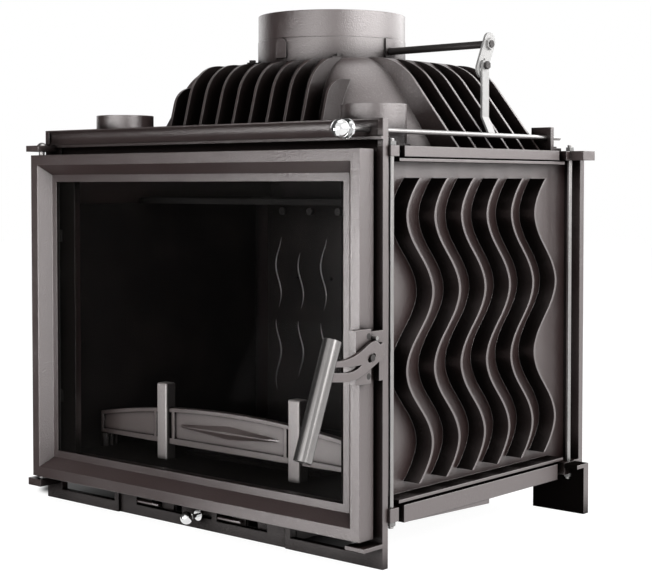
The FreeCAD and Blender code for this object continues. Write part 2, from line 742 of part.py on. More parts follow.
def register_panel():
    """Register panel: windows in front, ports in the lap behind, and guides for the slide."""
    face = block(-register_half, register_half, REGISTER_SETBACK, FRONT_THICK, 0, REGISTER_HEIGHT)
    lap_half = register_half + REGISTER_LAP
    lap_top = REGISTER_HEIGHT + REGISTER_LAP_RISE
    lap = block(-lap_half, lap_half, FRONT_THICK, lap_back, REGISTER_LAP_BOTTOM, lap_top)
    z_top = WINDOW_BOTTOM + WINDOW_HEIGHT
    windows = both_sides(block(WINDOW_START, WINDOW_START + WINDOW_LENGTH, REGISTER_SETBACK, FRONT_THICK,
                               WINDOW_BOTTOM, z_top))
    ports = [block(x, x + PORT_WIDTH, FRONT_THICK, lap_back, WINDOW_BOTTOM, z_top) for x in register_ports(0)]
    slot = obround(STEM_RADIUS + MOVE_GAP, Vector(0, REGISTER_SETBACK, STEM_HEIGHT),
                   Vector(SLIDE_TRAVEL, REGISTER_SETBACK, STEM_HEIGHT), Y * (lap_back - REGISTER_SETBACK))
    guide_half = WINDOW_START + WINDOW_LENGTH
    lip_front = slide_back + MOVE_GAP
    lip_back = lip_front + GUIDE_LIP
    high = slide_top + MOVE_GAP
    low = slide_bottom - MOVE_GAP
    low_end = low - GUIDE_LIP
    high_end = high + GUIDE_LIP
    guides = [block(-guide_half, guide_half, lap_back, lip_back, high, high_end),
              block(-guide_half, guide_half, lip_front, lip_back, high - GUIDE_LAP, high),
              block(-guide_half, guide_half, lap_back, lip_back, low_end, low),
              block(-guide_half, guide_half, lip_front, lip_back, low, low + GUIDE_LAP)]
    return joined(face, lap, *guides).cut(windows + ports + [slot])


def slide_plate():
    half = WINDOW_START + PORT_START + PORT_PITCH + PORT_WIDTH + SLIDE_MARGIN
    plate = block(-half, half, slide_front, slide_back, slide_bottom, slide_top)
    z_top = WINDOW_BOTTOM + WINDOW_HEIGHT
    ports = [block(x, x + PORT_WIDTH, slide_front, slide_back, WINDOW_BOTTOM, z_top)
             for x in register_ports(0)]
    hole = bar(STEM_RADIUS, Vector(0, slide_front, STEM_HEIGHT), Vector(0, slide_back, STEM_HEIGHT))
    return plate.cut(ports + [hole])


def air_stem():
    return bar(STEM_RADIUS, Vector(0, -AIR_BALL_REACH, STEM_HEIGHT), Vector(0, slide_back, STEM_HEIGHT))


def air_disc():
    back = REGISTER_SETBACK - MOVE_GAP
    return tube(AIR_DISC_RADIUS, STEM_RADIUS, Vector(0, back - AIR_DISC_THICK, STEM_HEIGHT),
                Vector(0, back, STEM_HEIGHT))


def air_knob():
    ball = Part.makeSphere(AIR_BALL_RADIUS, Vector(0, -AIR_BALL_REACH, STEM_HEIGHT))
    return ball.cut(air_stem())


# Door
def inset_box(inset, y0, y1):
    """Block over the door's face, brought in by inset from every edge."""
    return block(-door_half + inset, door_half - inset, y0, y1, DOOR_BOTTOM + inset, door_top - inset)


def inset_outline(inset, y):
    corners = [Vector(x, y, z) for x, z in (
        (-door_half + inset, DOOR_BOTTOM + inset), (door_half - inset, DOOR_BOTTOM + inset),
        (door_half - inset, door_top - inset), (-door_half + inset, door_top - inset))]
    return Part.makePolygon(corners + corners[:1])


def rope_path(y0, y1):
    outer = inset_box(ROPE_INSET - ROPE_WIDTH / 2, y0, y1)
    return outer.cut(inset_box(ROPE_INSET + ROPE_WIDTH / 2, y0, y1))


def door_frame():
    """Door casting: flat border, inward bevel, sight ring, glass rebate and rope groove."""
    frame = inset_box(0, door_front, door_back)
    bevel = Part.makeLoft([inset_outline(DOOR_BORDER, door_front),
                           inset_outline(DOOR_BORDER + BEVEL_RUN, ring_front)], True, True)
    cuts = [bevel, inset_box(sight_inset, door_front, door_back),
            inset_box(rebate_inset, ring_back, door_back),
            rope_path(door_back - ROPE_BED, door_back)]
    bore = HINGE_RADIUS + RUN_CLEAR
    for z0, z1 in ((DOOR_BOTTOM, DOOR_BOTTOM + HINGE_BORE), (door_top - HINGE_BORE, door_top)):
        cuts.append(bar(bore, Vector(hinge_x, hinge_y, z0), Vector(hinge_x, hinge_y, z1)))
    cuts += [bar(CLIP_SCREW_RADIUS, place, place - Y * (CLIP_SCREW_GRIP - CLIP_THICK))
             for place in clip_screw_places(door_back)]
    cuts += [bar(LATCH_SCREW_RADIUS, Vector(latch_outer - LATCH_SCREW_GRIP, y, z), Vector(latch_outer, y, z))
             for y, z in latch_screw_places()]
    return frame.cut(cuts)


def door_glass():
    return inset_box(glass_inset, ring_back + GASKET_THICK, ring_back + GASKET_THICK + GLASS_THICK)


def glass_gasket():
    outer = inset_box(glass_inset, ring_back, ring_back + GASKET_THICK)
    return outer.cut(inset_box(sight_inset, ring_back, ring_back + GASKET_THICK))


def door_rope():
    """Sealing rope in its groove, standing a little clear of the front plate."""
    rope = rope_path(door_back - ROPE_BED, -MOVE_GAP)
    outer_edges = [edge for edge in rope.Edges if edge.BoundBox.YMin > -MOVE_GAP - 0.01]
    return rope.makeFillet(ROPE_WIDTH / 3, outer_edges)


def clip_places():
    """Clip centres over the glass edge: two on each upright, two on each cross-piece."""
    side = door_half - rebate_inset
    rows = [DOOR_BOTTOM + DOOR_HEIGHT * share for share in (0.25, 0.75)]
    columns = [DOOR_WIDTH * share for share in (-0.25, 0.25)]
    places = [(sign * side, z, sign, 0) for sign in (-1, 1) for z in rows]
    places += [(x, door_top - rebate_inset, 0, 1) for x in columns]
    places += [(x, DOOR_BOTTOM + rebate_inset, 0, -1) for x in columns]
    return places


def clip_screw_places(y):
    hold = CLIP_LENGTH / 4
    return [Vector(x + dx * hold, y, z + dz * hold) for x, z, dx, dz in clip_places()]


def glass_clips():
    """Flat clips screwed to the door's back, each lapping over the glass edge."""
    half = CLIP_WIDTH / 2
    reach = CLIP_LENGTH / 2
    clips = []
    for (x, z, dx, dz), screw in zip(clip_places(), clip_screw_places(door_back)):
        wide = reach if dx else half
        tall = reach if dz else half
        clip = block(x - wide, x + wide, door_back, door_back + CLIP_THICK, z - tall, z + tall)
        clips.append(clip.cut(bar(CLIP_SCREW_RADIUS, screw, screw + Y * CLIP_THICK)))
    return group(clips)


def clip_screws():
    return group([round_screw(CLIP_SCREW_RADIUS, CLIP_SCREW_HEAD, CLIP_SCREW_RISE, place, CLIP_SCREW_GRIP, -Y)
                  for place in clip_screw_places(door_back + CLIP_THICK)])


def hinge_pins():
    """Lower pin below the door and upper pin with a domed head, both fixed in the lugs."""
    low = bar(HINGE_RADIUS, Vector(hinge_x, hinge_y, hinge_bottom_lug - HINGE_BOTTOM_LUG),
              Vector(hinge_x, hinge_y, DOOR_BOTTOM + HINGE_BORE - MOVE_GAP))
    head_z = hinge_top_lug + HINGE_TOP_LUG
    high = bar(HINGE_RADIUS, Vector(hinge_x, hinge_y, door_top - HINGE_BORE + MOVE_GAP),
               Vector(hinge_x, hinge_y, head_z))
    dome_radius = (HINGE_HEAD_RADIUS ** 2 + HINGE_HEAD_RISE ** 2) / (2 * HINGE_HEAD_RISE)
    dome = Part.makeSphere(dome_radius, Vector(hinge_x, hinge_y, head_z + HINGE_HEAD_RISE - dome_radius))
    cap = bar(HINGE_HEAD_RADIUS, Vector(hinge_x, hinge_y, head_z),
              Vector(hinge_x, hinge_y, head_z + HINGE_HEAD_RISE))
    return group([low, joined(high, dome.common(cap))])


def hinge_washer():
    return tube(WASHER_RADIUS, HINGE_RADIUS, Vector(hinge_x, hinge_y, hinge_bottom_lug),
                Vector(hinge_x, hinge_y, DOOR_BOTTOM - MOVE_GAP))


# Door latch
def latch_screw_places():
    y = door_front + LATCH_LAP / 2
    low = PIVOT_HEIGHT - LATCH_BELOW
    return [(y, low + LATCH_SCREW_EDGE), (y, low + LATCH_HEIGHT - LATCH_SCREW_EDGE)]


def latch_bracket():
    """Block on the door's right edge that carries the lever's pivot."""
    low = PIVOT_HEIGHT - LATCH_BELOW
    body = block(door_half, latch_outer, door_front - LATCH_FRONT, door_front + LATCH_LAP,
                 low, low + LATCH_HEIGHT)
    cuts = [bar(PIVOT_RADIUS, Vector(door_half, pivot_y, PIVOT_HEIGHT),
                Vector(latch_outer, pivot_y, PIVOT_HEIGHT))]
    cuts += [latch_screw(y, z) for y, z in latch_screw_places()]
    return body.cut(cuts)


def latch_screw(y, z):
    """Countersunk screw, flush with the bracket's outer face."""
    depth = LATCH_SCREW_HEAD - LATCH_SCREW_RADIUS
    shank = bar(LATCH_SCREW_RADIUS, Vector(latch_outer - LATCH_SCREW_GRIP, y, z), Vector(latch_outer, y, z))
    head = Part.makeCone(LATCH_SCREW_RADIUS, LATCH_SCREW_HEAD, depth, Vector(latch_outer - depth, y, z), X)
    return joined(shank, head)


def latch_screws():
    return group([latch_screw(y, z) for y, z in latch_screw_places()])


def lever_pivot():
    shank = bar(PIVOT_RADIUS, Vector(door_half, pivot_y, PIVOT_HEIGHT),
                Vector(lever_outer + MOVE_GAP, pivot_y, PIVOT_HEIGHT))
    head = bar(PIVOT_HEAD_RADIUS, Vector(lever_outer + MOVE_GAP, pivot_y, PIVOT_HEIGHT),
               Vector(lever_outer + MOVE_GAP + PIVOT_HEAD, pivot_y, PIVOT_HEIGHT))
    return joined(shank, head)


def lever_point(place, x=lever_inner):
    return Vector(x, pivot_y + place[0], PIVOT_HEIGHT + place[1])


def polar(radius, degrees):
    turn = math.radians(degrees)
    return (radius * math.cos(turn), radius * math.sin(turn))


def grip_ends():
    middle = (lever_inner + lever_outer) / 2
    return lever_point(GRIP_TOP, middle), lever_point(GRIP_BOTTOM, middle)


def handle_lever():
    """Forked lever: two prongs to the grip, a slotted pivot hole and a claw at the tail."""
    upper = [lever_point(place) for place in LEVER_UPPER]
    lower = [lever_point(place) for place in LEVER_LOWER]
    tail = lever_point((LEVER_UPPER[-1][0] + LEVER_END_RADIUS, LEVER_UPPER[-1][1] - LEVER_END_RADIUS))
    edges = [curve(upper), arc(upper[-1], tail, lower[0]), curve(lower), Part.makeLine(lower[-1], upper[0])]
    through = X * LEVER_THICK
    lever = Part.Face(Part.Wire(edges)).extrude(through)
    slit_top = [lever_point(place) for place in SLIT_UPPER]
    slit_low = [lever_point(place) for place in SLIT_LOWER]
    slit = Part.Face(Part.Wire([curve(slit_top), curve(slit_low),
                                Part.makeLine(slit_low[-1], slit_top[0])])).extrude(through)
    ahead = polar(LEVER_SLOT / 2 - PIVOT_RADIUS, LEVER_SLOT_TILT)
    slot = obround(PIVOT_RADIUS + RUN_CLEAR, lever_point((-ahead[0], -ahead[1])), lever_point(ahead), through)
    claw = claw_sweep(through)
    start, end = grip_ends()
    return lever.cut([slit, slot, claw, bar(GRIP_RADIUS, start, end)])


def claw_sweep(through):
    """Room that the keeper pin needs in the lever, from latched round to fully lifted."""
    near = KEEPER_PIN_THROW - KEEPER_PIN_RADIUS - KEEPER_PLAY
    far = KEEPER_PIN_THROW + KEEPER_PIN_RADIUS + KEEPER_PLAY
    first = KEEPER_PIN_ANGLE
    last = first + LATCH_SWING + LIFT_SWING
    middle = (first + last) / 2
    ring = [lever_point(polar(near, first)), lever_point(polar(near, middle)), lever_point(polar(near, last)),
            lever_point(polar(far, last)), lever_point(polar(far, middle)), lever_point(polar(far, first))]
    edges = [arc(ring[0], ring[1], ring[2]), Part.makeLine(ring[2], ring[3]),
             arc(ring[3], ring[4], ring[5]), Part.makeLine(ring[5], ring[0])]
    seat = lever_point(polar(KEEPER_PIN_THROW, first))
    sector = Part.Face(Part.Wire(edges)).extrude(through)
    return sector.fuse(bar(KEEPER_PIN_RADIUS + KEEPER_PLAY, seat, seat + through))


def handle_grip():
    start, end = grip_ends()
    return tube(GRIP_RADIUS, GRIP_RADIUS - GRIP_WALL, start, end)


def keeper_pin_place():
    return polar(KEEPER_PIN_THROW, KEEPER_PIN_ANGLE + LATCH_SWING)


def latch_keeper():
    """Keeper plate on the front plate's right edge, with an ear that holds the keeper pin."""
    low = PIVOT_HEIGHT - KEEPER_BELOW
    plate = block(front_half - KEEPER_WIDTH, front_half, -KEEPER_THICK, 0, low, low + KEEPER_HEIGHT)
    pin = lever_point(keeper_pin_place(), front_half)
    ear = block(front_half - KEEPER_EAR, front_half, pin.y - KEEPER_PIN_RADIUS - KEEPER_PLAY, 0,
                pin.z - KEEPER_EAR_HEIGHT / 2, pin.z + KEEPER_EAR_HEIGHT / 2)
    return joined(plate, ear).cut(keeper_pin())


def keeper_pin():
    start = lever_point(keeper_pin_place(), front_half - KEEPER_EAR)
    return bar(KEEPER_PIN_RADIUS, start, Vector(lever_outer + MOVE_GAP, start.y, start.z))


# Smoke hood, collar and spigots
def hood_outline(z, half, front, rear, front_round, rear_round):
    """Rounded rectangle with its own corner radius at the front and at the rear."""
    corners = [(half, front, front_round, -90), (half, rear, rear_round, 0),
               (-half, rear, rear_round, 90), (-half, front, front_round, 180)]
    arcs = []
    for x, y, radius, turn in corners:
        cx = x - math.copysign(radius, x)
        cy = y + radius if y == front else y - radius
        spots = [Vector(cx + radius * math.cos(math.radians(turn + a)),
                        cy + radius * math.sin(math.radians(turn + a)), z) for a in (0, 45, 90)]
        arcs.append(spots)
    edges = []
    for i, spots in enumerate(arcs):
        edges.append(arc(*spots))
        edges.append(Part.makeLine(spots[2], arcs[(i + 1) % 4][0]))
    return Part.Wire(edges)


def hood_body(inset):
    """Dome over the smoke opening; inset gives the matching hollow inside it."""
    rise = HOOD_HEIGHT - inset
    wires = [hood_outline(TOP_LEVEL + share * rise, half - inset, front + inset, rear - inset,
                          front_round - inset, rear_round - inset)
             for share, half, front, rear, front_round, rear_round in HOOD_LEVELS]
    return Part.makeLoft(wires, True, False)


def fin_face(foot, lean_degrees, radius, top, inward, place):
    """Fin outline: a leaning edge from the foot, an arc onto the level top, and back down.

    foot is the edge's place at the top plate, inward is +1 or -1 for the way it leans,
    and place turns (run, height) into a point of the fin's plane.
    """
    turn = math.radians(lean_degrees)
    arc_start_z = top - radius * (1 - math.sin(turn))
    arc_start = foot + inward * (arc_start_z - TOP_LEVEL) * math.tan(turn)
    end = arc_start + inward * radius * math.cos(turn)
    half_turn = (math.pi / 2 - turn) / 2
    centre_z = top - radius
    middle = (end - inward * radius * math.sin(half_turn), centre_z + radius * math.cos(half_turn))
    deep = end + inward * radius
    points = [place(foot, TOP_LEVEL), place(arc_start, arc_start_z), place(*middle), place(end, top),
              place(deep, top), place(deep, TOP_LEVEL)]
    edges = [Part.makeLine(points[0], points[1]), arc(points[1], points[2], points[3]),
             Part.makeLine(points[3], points[4]), Part.makeLine(points[4], points[5]),
             Part.makeLine(points[5], points[0])]
    return Part.Face(Part.Wire(edges))


def hood_fins():
    """Upright fins: across the front and rear in X, and along both sides in Y."""
    fins = []
    half_thick = HOOD_FIN_THICK / 2
    for i in range(HOOD_FRONT_FINS):
        x = (i - (HOOD_FRONT_FINS - 1) / 2) * HOOD_FRONT_PITCH - half_thick
        across = X * HOOD_FIN_THICK
        for foot, slope, radius, way in ((HOOD_FRONT_FOOT, HOOD_FRONT_LEAN, HOOD_FRONT_ROUND, 1),
                                         (HOOD_REAR_FOOT, HOOD_REAR_LEAN, HOOD_REAR_ROUND, -1)):
            face = fin_face(foot, slope, radius, hood_top, way, lambda run, up: Vector(x, run, up))
            fins.append(face.extrude(across))
    x = (HOOD_FRONT_FINS + 1) / 2 * HOOD_FRONT_PITCH - half_thick
    face = fin_face(HOOD_SHORT_FOOT, HOOD_FRONT_LEAN, HOOD_SHORT_ROUND, hood_top - HOOD_SHORT_DROP, 1,
                    lambda run, up: Vector(x, run, up))
    fins += both_sides(face.extrude(X * HOOD_FIN_THICK))
    for i in range(HOOD_SIDE_FINS):
        y = HOOD_SIDE_CENTRE + (i - (HOOD_SIDE_FINS - 1) / 2) * HOOD_SIDE_PITCH - half_thick
        face = fin_face(HOOD_SIDE_FOOT, HOOD_SIDE_LEAN, HOOD_SIDE_ROUND, hood_top, -1,
                        lambda run, up: Vector(run, y, up))
        fins += both_sides(face.extrude(Y * HOOD_FIN_THICK))
    return fins


def hood_bolt_places():
    side = HOOD_LEVELS[0][1] - HOOD_WALL - HOOD_BOSS_INSET
    front = HOOD_LEVELS[0][2] + HOOD_WALL + HOOD_BOSS_INSET / 2
    return [(-side, FLUE_AXIS), (side, FLUE_AXIS), (0.0, front)]


def smoke_hood():
    """Finned dome with a hollow inside, bosses for its bolts and the flue hole in its top."""
    hollow = hood_body(HOOD_WALL)
    flue = bar(flue_bore, Vector(0, FLUE_AXIS, TOP_LEVEL), Vector(0, FLUE_AXIS, hood_top))
    solid = joined(hood_body(0), *hood_fins())
    bosses = [bar(HOOD_BOSS_RADIUS, Vector(x, y, TOP_LEVEL), Vector(x, y, TOP_LEVEL + HOOD_BOSS_HEIGHT))
              for x, y in hood_bolt_places()]
    holes = [bar(HOOD_BOLT_RADIUS, Vector(x, y, TOP_LEVEL), Vector(x, y, TOP_LEVEL + hood_bolt_depth()))
             for x, y in hood_bolt_places()]
    holes += [bar(FLUE_BOLT_RADIUS, place, place - Z * HOOD_WALL) for place in flue_bolt_places(hood_top)]
    shell = solid.cut([hollow, flue])
    return joined(shell, *bosses).cut(holes)


def hood_bolt_depth():
    return HOOD_BOSS_HEIGHT - HOOD_BOLT_HEAD


def hood_bolts():
    grip = TOP_LEVEL - top_web + hood_bolt_depth()
    return group([hex_bolt(HOOD_BOLT_RADIUS, HOOD_BOLT_AF, HOOD_BOLT_HEAD, Vector(x, y, top_web), grip, Z)
                  for x, y in hood_bolt_places()])


def flue_bolt_places(z):
    reach = FLUE_RADIUS + FLUE_SHOULDER + FLUE_TAB_REACH / 2
    places = []
    for turn in (45, 135, 225, 315):
        dx, dy = polar(reach, turn)
        places.append(Vector(dx, FLUE_AXIS + dy, z))
    return places


def flue_collar():
    """Collar with a shoulder, four side bosses, and four bolting tabs at its foot."""
    low = Vector(0, FLUE_AXIS, hood_top)
    step = Vector(0, FLUE_AXIS, hood_top + FLUE_SHOULDER_RISE)
    high = Vector(0, FLUE_AXIS, flue_top)
    outer = FLUE_RADIUS + FLUE_SHOULDER
    parts = [bar(outer, low, step), bar(FLUE_RADIUS, step, high)]
    boss_low = hood_top + BOSS_RISE
    boss_high = hood_top + FLUE_SHOULDER_RISE
    reach = outer + BOSS_PROUD
    half = BOSS_WIDTH / 2
    parts.append(block(-reach, reach, FLUE_AXIS - half, FLUE_AXIS + half, boss_low, boss_high))
    round_z = boss_high - half
    parts.append(block(-half, half, FLUE_AXIS - reach, FLUE_AXIS + reach, boss_low, round_z))
    parts.append(bar(half, Vector(0, FLUE_AXIS - reach, round_z), Vector(0, FLUE_AXIS + reach, round_z)))
    for turn in (45, 135, 225, 315):
        tab = block(0, outer + FLUE_TAB_REACH, -FLUE_TAB_WIDTH / 2, FLUE_TAB_WIDTH / 2, 0, FLUE_TAB_THICK)
        tab.Placement = FreeCAD.Placement(low, FreeCAD.Rotation(Z, turn))
        parts.append(tab)
    cuts = [bar(flue_bore, low, high)]
    cuts.append(bar(SPINDLE_RADIUS + RUN_CLEAR, Vector(-reach, FLUE_AXIS, spindle_z),
                    Vector(reach, FLUE_AXIS, spindle_z)))
    cuts += [bar(FLUE_BOLT_RADIUS, place, place + Z * FLUE_TAB_THICK) for place in flue_bolt_places(hood_top)]
    return joined(*parts).cut(cuts)


def flue_bolts():
    return group([hex_bolt(FLUE_BOLT_RADIUS, FLUE_BOLT_AF, FLUE_BOLT_HEAD, place,
                           FLUE_TAB_THICK + HOOD_WALL - FLUE_BOLT_RADIUS, -Z)
                  for place in flue_bolt_places(hood_top + FLUE_TAB_THICK)])


def right_air_spigot():
    low = Vector(SPIGOT_X, SPIGOT_Y, top_web)
    foot = Vector(SPIGOT_X, SPIGOT_Y, TOP_LEVEL)
    flange = bar(SPIGOT_RADIUS + SPIGOT_FLANGE, foot, foot + Z * SPIGOT_FLANGE)
    wall = bar(SPIGOT_RADIUS, low, foot + Z * SPIGOT_HEIGHT)
    return joined(flange, wall).cut(bar(SPIGOT_RADIUS - SPIGOT_WALL, low, foot + Z * SPIGOT_HEIGHT))


# Flue damper
def tilted(shape):
    shape.rotate(Vector(0, FLUE_AXIS, spindle_z), X, DAMPER_TILT)
    return shape


def damper_spindle():
    """Spindle through both collar bosses, with a flat below it for the damper plate."""
    left = -FLUE_RADIUS - FLUE_SHOULDER - BOSS_PROUD - SPINDLE_END
    right = crank_outer + CRANK_NUT_HEIGHT + SPINDLE_TAIL
    spindle = bar(SPINDLE_RADIUS, Vector(left, FLUE_AXIS, spindle_z), Vector(right, FLUE_AXIS, spindle_z))
    half = flue_bore - DAMPER_PLAY + MOVE_GAP
    flat_z = spindle_z - SPINDLE_RADIUS + DAMPER_FLAT
    flat = block(-half, half, FLUE_AXIS - SPINDLE_RADIUS, FLUE_AXIS + SPINDLE_RADIUS,
                 spindle_z - SPINDLE_RADIUS, flat_z)
    return spindle.cut([tilted(flat)] + [tilted(hole) for hole in damper_screw_holes()])


def damper_screw_holes():
    top = spindle_z + SPINDLE_RADIUS
    low = spindle_z - SPINDLE_RADIUS + DAMPER_FLAT - DAMPER_THICK
    return [bar(DAMPER_SCREW_RADIUS, Vector(x, FLUE_AXIS, low), Vector(x, FLUE_AXIS, top))
            for x in (-DAMPER_SCREW_PLACE, DAMPER_SCREW_PLACE)]


def damper_plate():
    high = spindle_z - SPINDLE_RADIUS + DAMPER_FLAT
    disc = bar(flue_bore - DAMPER_PLAY, Vector(0, FLUE_AXIS, high - DAMPER_THICK), Vector(0, FLUE_AXIS, high))
    return tilted(disc.cut(damper_screw_holes()))


def damper_screws():
    start = spindle_z - SPINDLE_RADIUS + DAMPER_FLAT - DAMPER_THICK
    return group([tilted(round_screw(DAMPER_SCREW_RADIUS, DAMPER_SCREW_HEAD, DAMPER_SCREW_RISE,
                                     Vector(x, FLUE_AXIS, start), spindle_z + SPINDLE_RADIUS - start, Z))
                  for x in (-DAMPER_SCREW_PLACE, DAMPER_SCREW_PLACE)])


def crank_point(reach, x):
    return Vector(x, FLUE_AXIS - reach * math.sin(lean), spindle_z - reach * math.cos(lean))


def damper_crank():
    """Slotted crank on the spindle's end; the slot lets the rod's pin ride up and down it."""
    through = X * CRANK_THICK
    body = obround(CRANK_WIDTH / 2, crank_point(-CRANK_TOP, crank_inner),
                   crank_point(crank_throw + CRANK_FOOT, crank_inner), through)
    slot = obround(CRANK_PIN_RADIUS + CRANK_SLOT_PLAY,
                   crank_point(crank_throw - CRANK_SLOT_SHORT, crank_inner),
                   crank_point(crank_throw + CRANK_SLOT_LONG, crank_inner), through)
    hole = bar(SPINDLE_RADIUS, Vector(crank_inner, FLUE_AXIS, spindle_z),
               Vector(crank_outer, FLUE_AXIS, spindle_z))
    return body.cut([slot, hole])


def crank_nut():
    start = Vector(crank_outer, FLUE_AXIS, spindle_z)
    nut = hexagon(CRANK_NUT_AF, start, X * CRANK_NUT_HEIGHT)
    return nut.cut(bar(SPINDLE_RADIUS, start, start + X * CRANK_NUT_HEIGHT))


# Damper push rod
def push_rod():
    return bar(ROD_RADIUS, Vector(ROD_X, -ROD_KNOB_REACH, rod_z),
               Vector(ROD_X, bracket_back + ROD_TAIL, rod_z))


def rod_knob():
    ball = Part.makeSphere(ROD_KNOB_RADIUS, Vector(ROD_X, -ROD_KNOB_REACH, rod_z))
    neck = bar(ROD_NECK_RADIUS, Vector(ROD_X, -ROD_KNOB_REACH, rod_z),
               Vector(ROD_X, -ROD_DISC_REACH - ROD_DISC_THICK, rod_z))
    return joined(ball, neck).cut(push_rod())


def rod_disc():
    return tube(ROD_DISC_RADIUS, ROD_RADIUS, Vector(ROD_X, -ROD_DISC_REACH - ROD_DISC_THICK, rod_z),
                Vector(ROD_X, -ROD_DISC_REACH, rod_z))


def link_post():
    """Strip that carries the crank's pin; below its bend it slants out to the rod."""
    y0 = pin_y - POST_WIDTH / 2
    bend_z = rod_z + POST_BEND
    stem = block(post_inner, post_outer, y0, y0 + POST_WIDTH, bend_z, pin_z)
    eye = bar(POST_WIDTH / 2, Vector(post_inner, pin_y, pin_z), Vector(post_outer, pin_y, pin_z))
    foot = prism([Vector(post_inner, y0, bend_z), Vector(post_outer, y0, bend_z),
                  Vector(ROD_X + POST_THICK / 2, y0, rod_z), Vector(ROD_X - POST_THICK / 2, y0, rod_z)],
                 Y * POST_WIDTH)
    hole = bar(CRANK_PIN_RADIUS, Vector(post_inner, pin_y, pin_z), Vector(post_outer, pin_y, pin_z))
    return joined(stem, eye, foot).cut([push_rod(), hole])


def crank_pin():
    return bar(CRANK_PIN_RADIUS, Vector(crank_inner - CRANK_PIN_TAIL, pin_y, pin_z),
               Vector(post_outer + PIN_NUT_HEIGHT, pin_y, pin_z))


def pin_nut():
    start = Vector(post_outer, pin_y, pin_z)
    nut = hexagon(PIN_NUT_AF, start, X * PIN_NUT_HEIGHT)
    return nut.cut(bar(CRANK_PIN_RADIUS, start, start + X * PIN_NUT_HEIGHT))


def bracket_screw_places():
    x0 = ROD_X - BRACKET_INNER
    x1 = ROD_X + BRACKET_OUTER
    y = bracket_back + BRACKET_FOOT / 2
    inset = BRACKET_SCREW_HEAD + BRACKET_SCREW_RADIUS
    return [(x0 + inset, y), (x1 - inset, y)]


def rod_bracket():
    """Rear guide for the push rod: an upright on a foot screwed to the top plate."""
    x0 = ROD_X - BRACKET_INNER
    x1 = ROD_X + BRACKET_OUTER
    upright = block(x0, x1, BRACKET_FRONT, bracket_back, TOP_LEVEL, TOP_LEVEL + BRACKET_HEIGHT)
    foot = block(x0, x1, bracket_back, bracket_back + BRACKET_FOOT, TOP_LEVEL, TOP_LEVEL + BRACKET_FOOT_THICK)
    cuts = [bar(ROD_RADIUS + RUN_CLEAR, Vector(ROD_X, BRACKET_FRONT, rod_z),
                Vector(ROD_X, bracket_back, rod_z))]
    cuts += [bar(BRACKET_SCREW_RADIUS, Vector(x, y, TOP_LEVEL), Vector(x, y, TOP_LEVEL + BRACKET_FOOT_THICK))
             for x, y in bracket_screw_places()]
    return joined(upright, foot).cut(cuts)


def bracket_screws():
    start = TOP_LEVEL + BRACKET_FOOT_THICK
    return group([round_screw(BRACKET_SCREW_RADIUS, BRACKET_SCREW_HEAD, BRACKET_SCREW_RADIUS,
                              Vector(x, y, start), start - top_web, -Z) for x, y in bracket_screw_places()])


# Firebox
def right_side_liner():
    return block(side_liner_inner, side_liner_outer, SIDE_LINER_FRONT, LINER_FRONT, base_top, LINER_TOP)


def rear_liner():
    """Rear liner with a row of small air holes and stud holes along its top."""
    plate = block(-LINER_HALF, LINER_HALF, LINER_FRONT, liner_back, base_top, LINER_TOP)
    cuts = [bar(LINER_STUD_RADIUS / 2, Vector(x, LINER_FRONT, z), Vector(x, liner_back, z))
            for x, z in stud_places()]
    z = LINER_TOP - LINER_HOLE_DROP
    for i in range(LINER_HOLES):
        x = (i - (LINER_HOLES - 1) / 2) * LINER_HOLE_PITCH
        cuts.append(bar(LINER_HOLE_RADIUS, Vector(x, LINER_FRONT, z), Vector(x, liner_back, z)))
    return plate.cut(cuts)


def stud_places():
    return [((i - (LINER_STUDS - 1) / 2) * LINER_STUD_PITCH, LINER_TOP - LINER_STUD_DROP)
            for i in range(LINER_STUDS)]


def liner_studs():
    return group([round_screw(LINER_STUD_RADIUS / 2, LINER_STUD_RADIUS, LINER_STUD_RISE,
                              Vector(x, LINER_FRONT, z), rear_front - LINER_FRONT, Y)
                  for x, z in stud_places()])


def baffle_plate():
    return block(-side_liner_outer, side_liner_outer, BAFFLE_FRONT, liner_back,
                 LINER_TOP, LINER_TOP + BAFFLE_THICK)


def fire_grate():
    """Slotted grate in the base's seat."""
    half = GRATE_WIDTH / 2
    low = base_top - GRATE_SEAT
    back = GRATE_FRONT + GRATE_DEPTH
    grate = block(-half, half, GRATE_FRONT, back, low, low + GRATE_THICK)
    pitch = (GRATE_WIDTH - 2 * GRATE_LEDGE - GRATE_WEB) / GRATE_BARS
    length = (GRATE_DEPTH - 2 * GRATE_LEDGE - GRATE_WEB) / GRATE_ROWS
    slots = []
    for i in range(GRATE_BARS):
        for j in range(GRATE_ROWS):
            x = -half + GRATE_LEDGE + GRATE_WEB + i * pitch
            y = GRATE_FRONT + GRATE_LEDGE + GRATE_WEB + j * length
            slots.append(block(x, x + pitch - GRATE_WEB, y, y + length - GRATE_WEB, low, low + GRATE_THICK))
    return grate.cut(slots)


def bow_wall(thick, proud):
    """Upright wall bowed forward in plan: an arc of even thickness over the fender's length."""
    ends = [Vector(-FENDER_HALF, FENDER_Y - proud, 0), Vector(FENDER_HALF, FENDER_Y - proud, 0)]
    near = arc(ends[0], Vector(0, FENDER_Y - proud - FENDER_BOW, 0), ends[1])
    back = [ends[0] + Y * thick, ends[1] + Y * thick]
    far = arc(back[1], Vector(0, FENDER_Y - proud - FENDER_BOW + thick, 0), back[0])
    wire = Part.Wire([near, Part.makeLine(ends[1], back[1]), far, Part.makeLine(back[0], ends[0])])
    return Part.Face(wire).extrude(Z * FENDER_TOP)


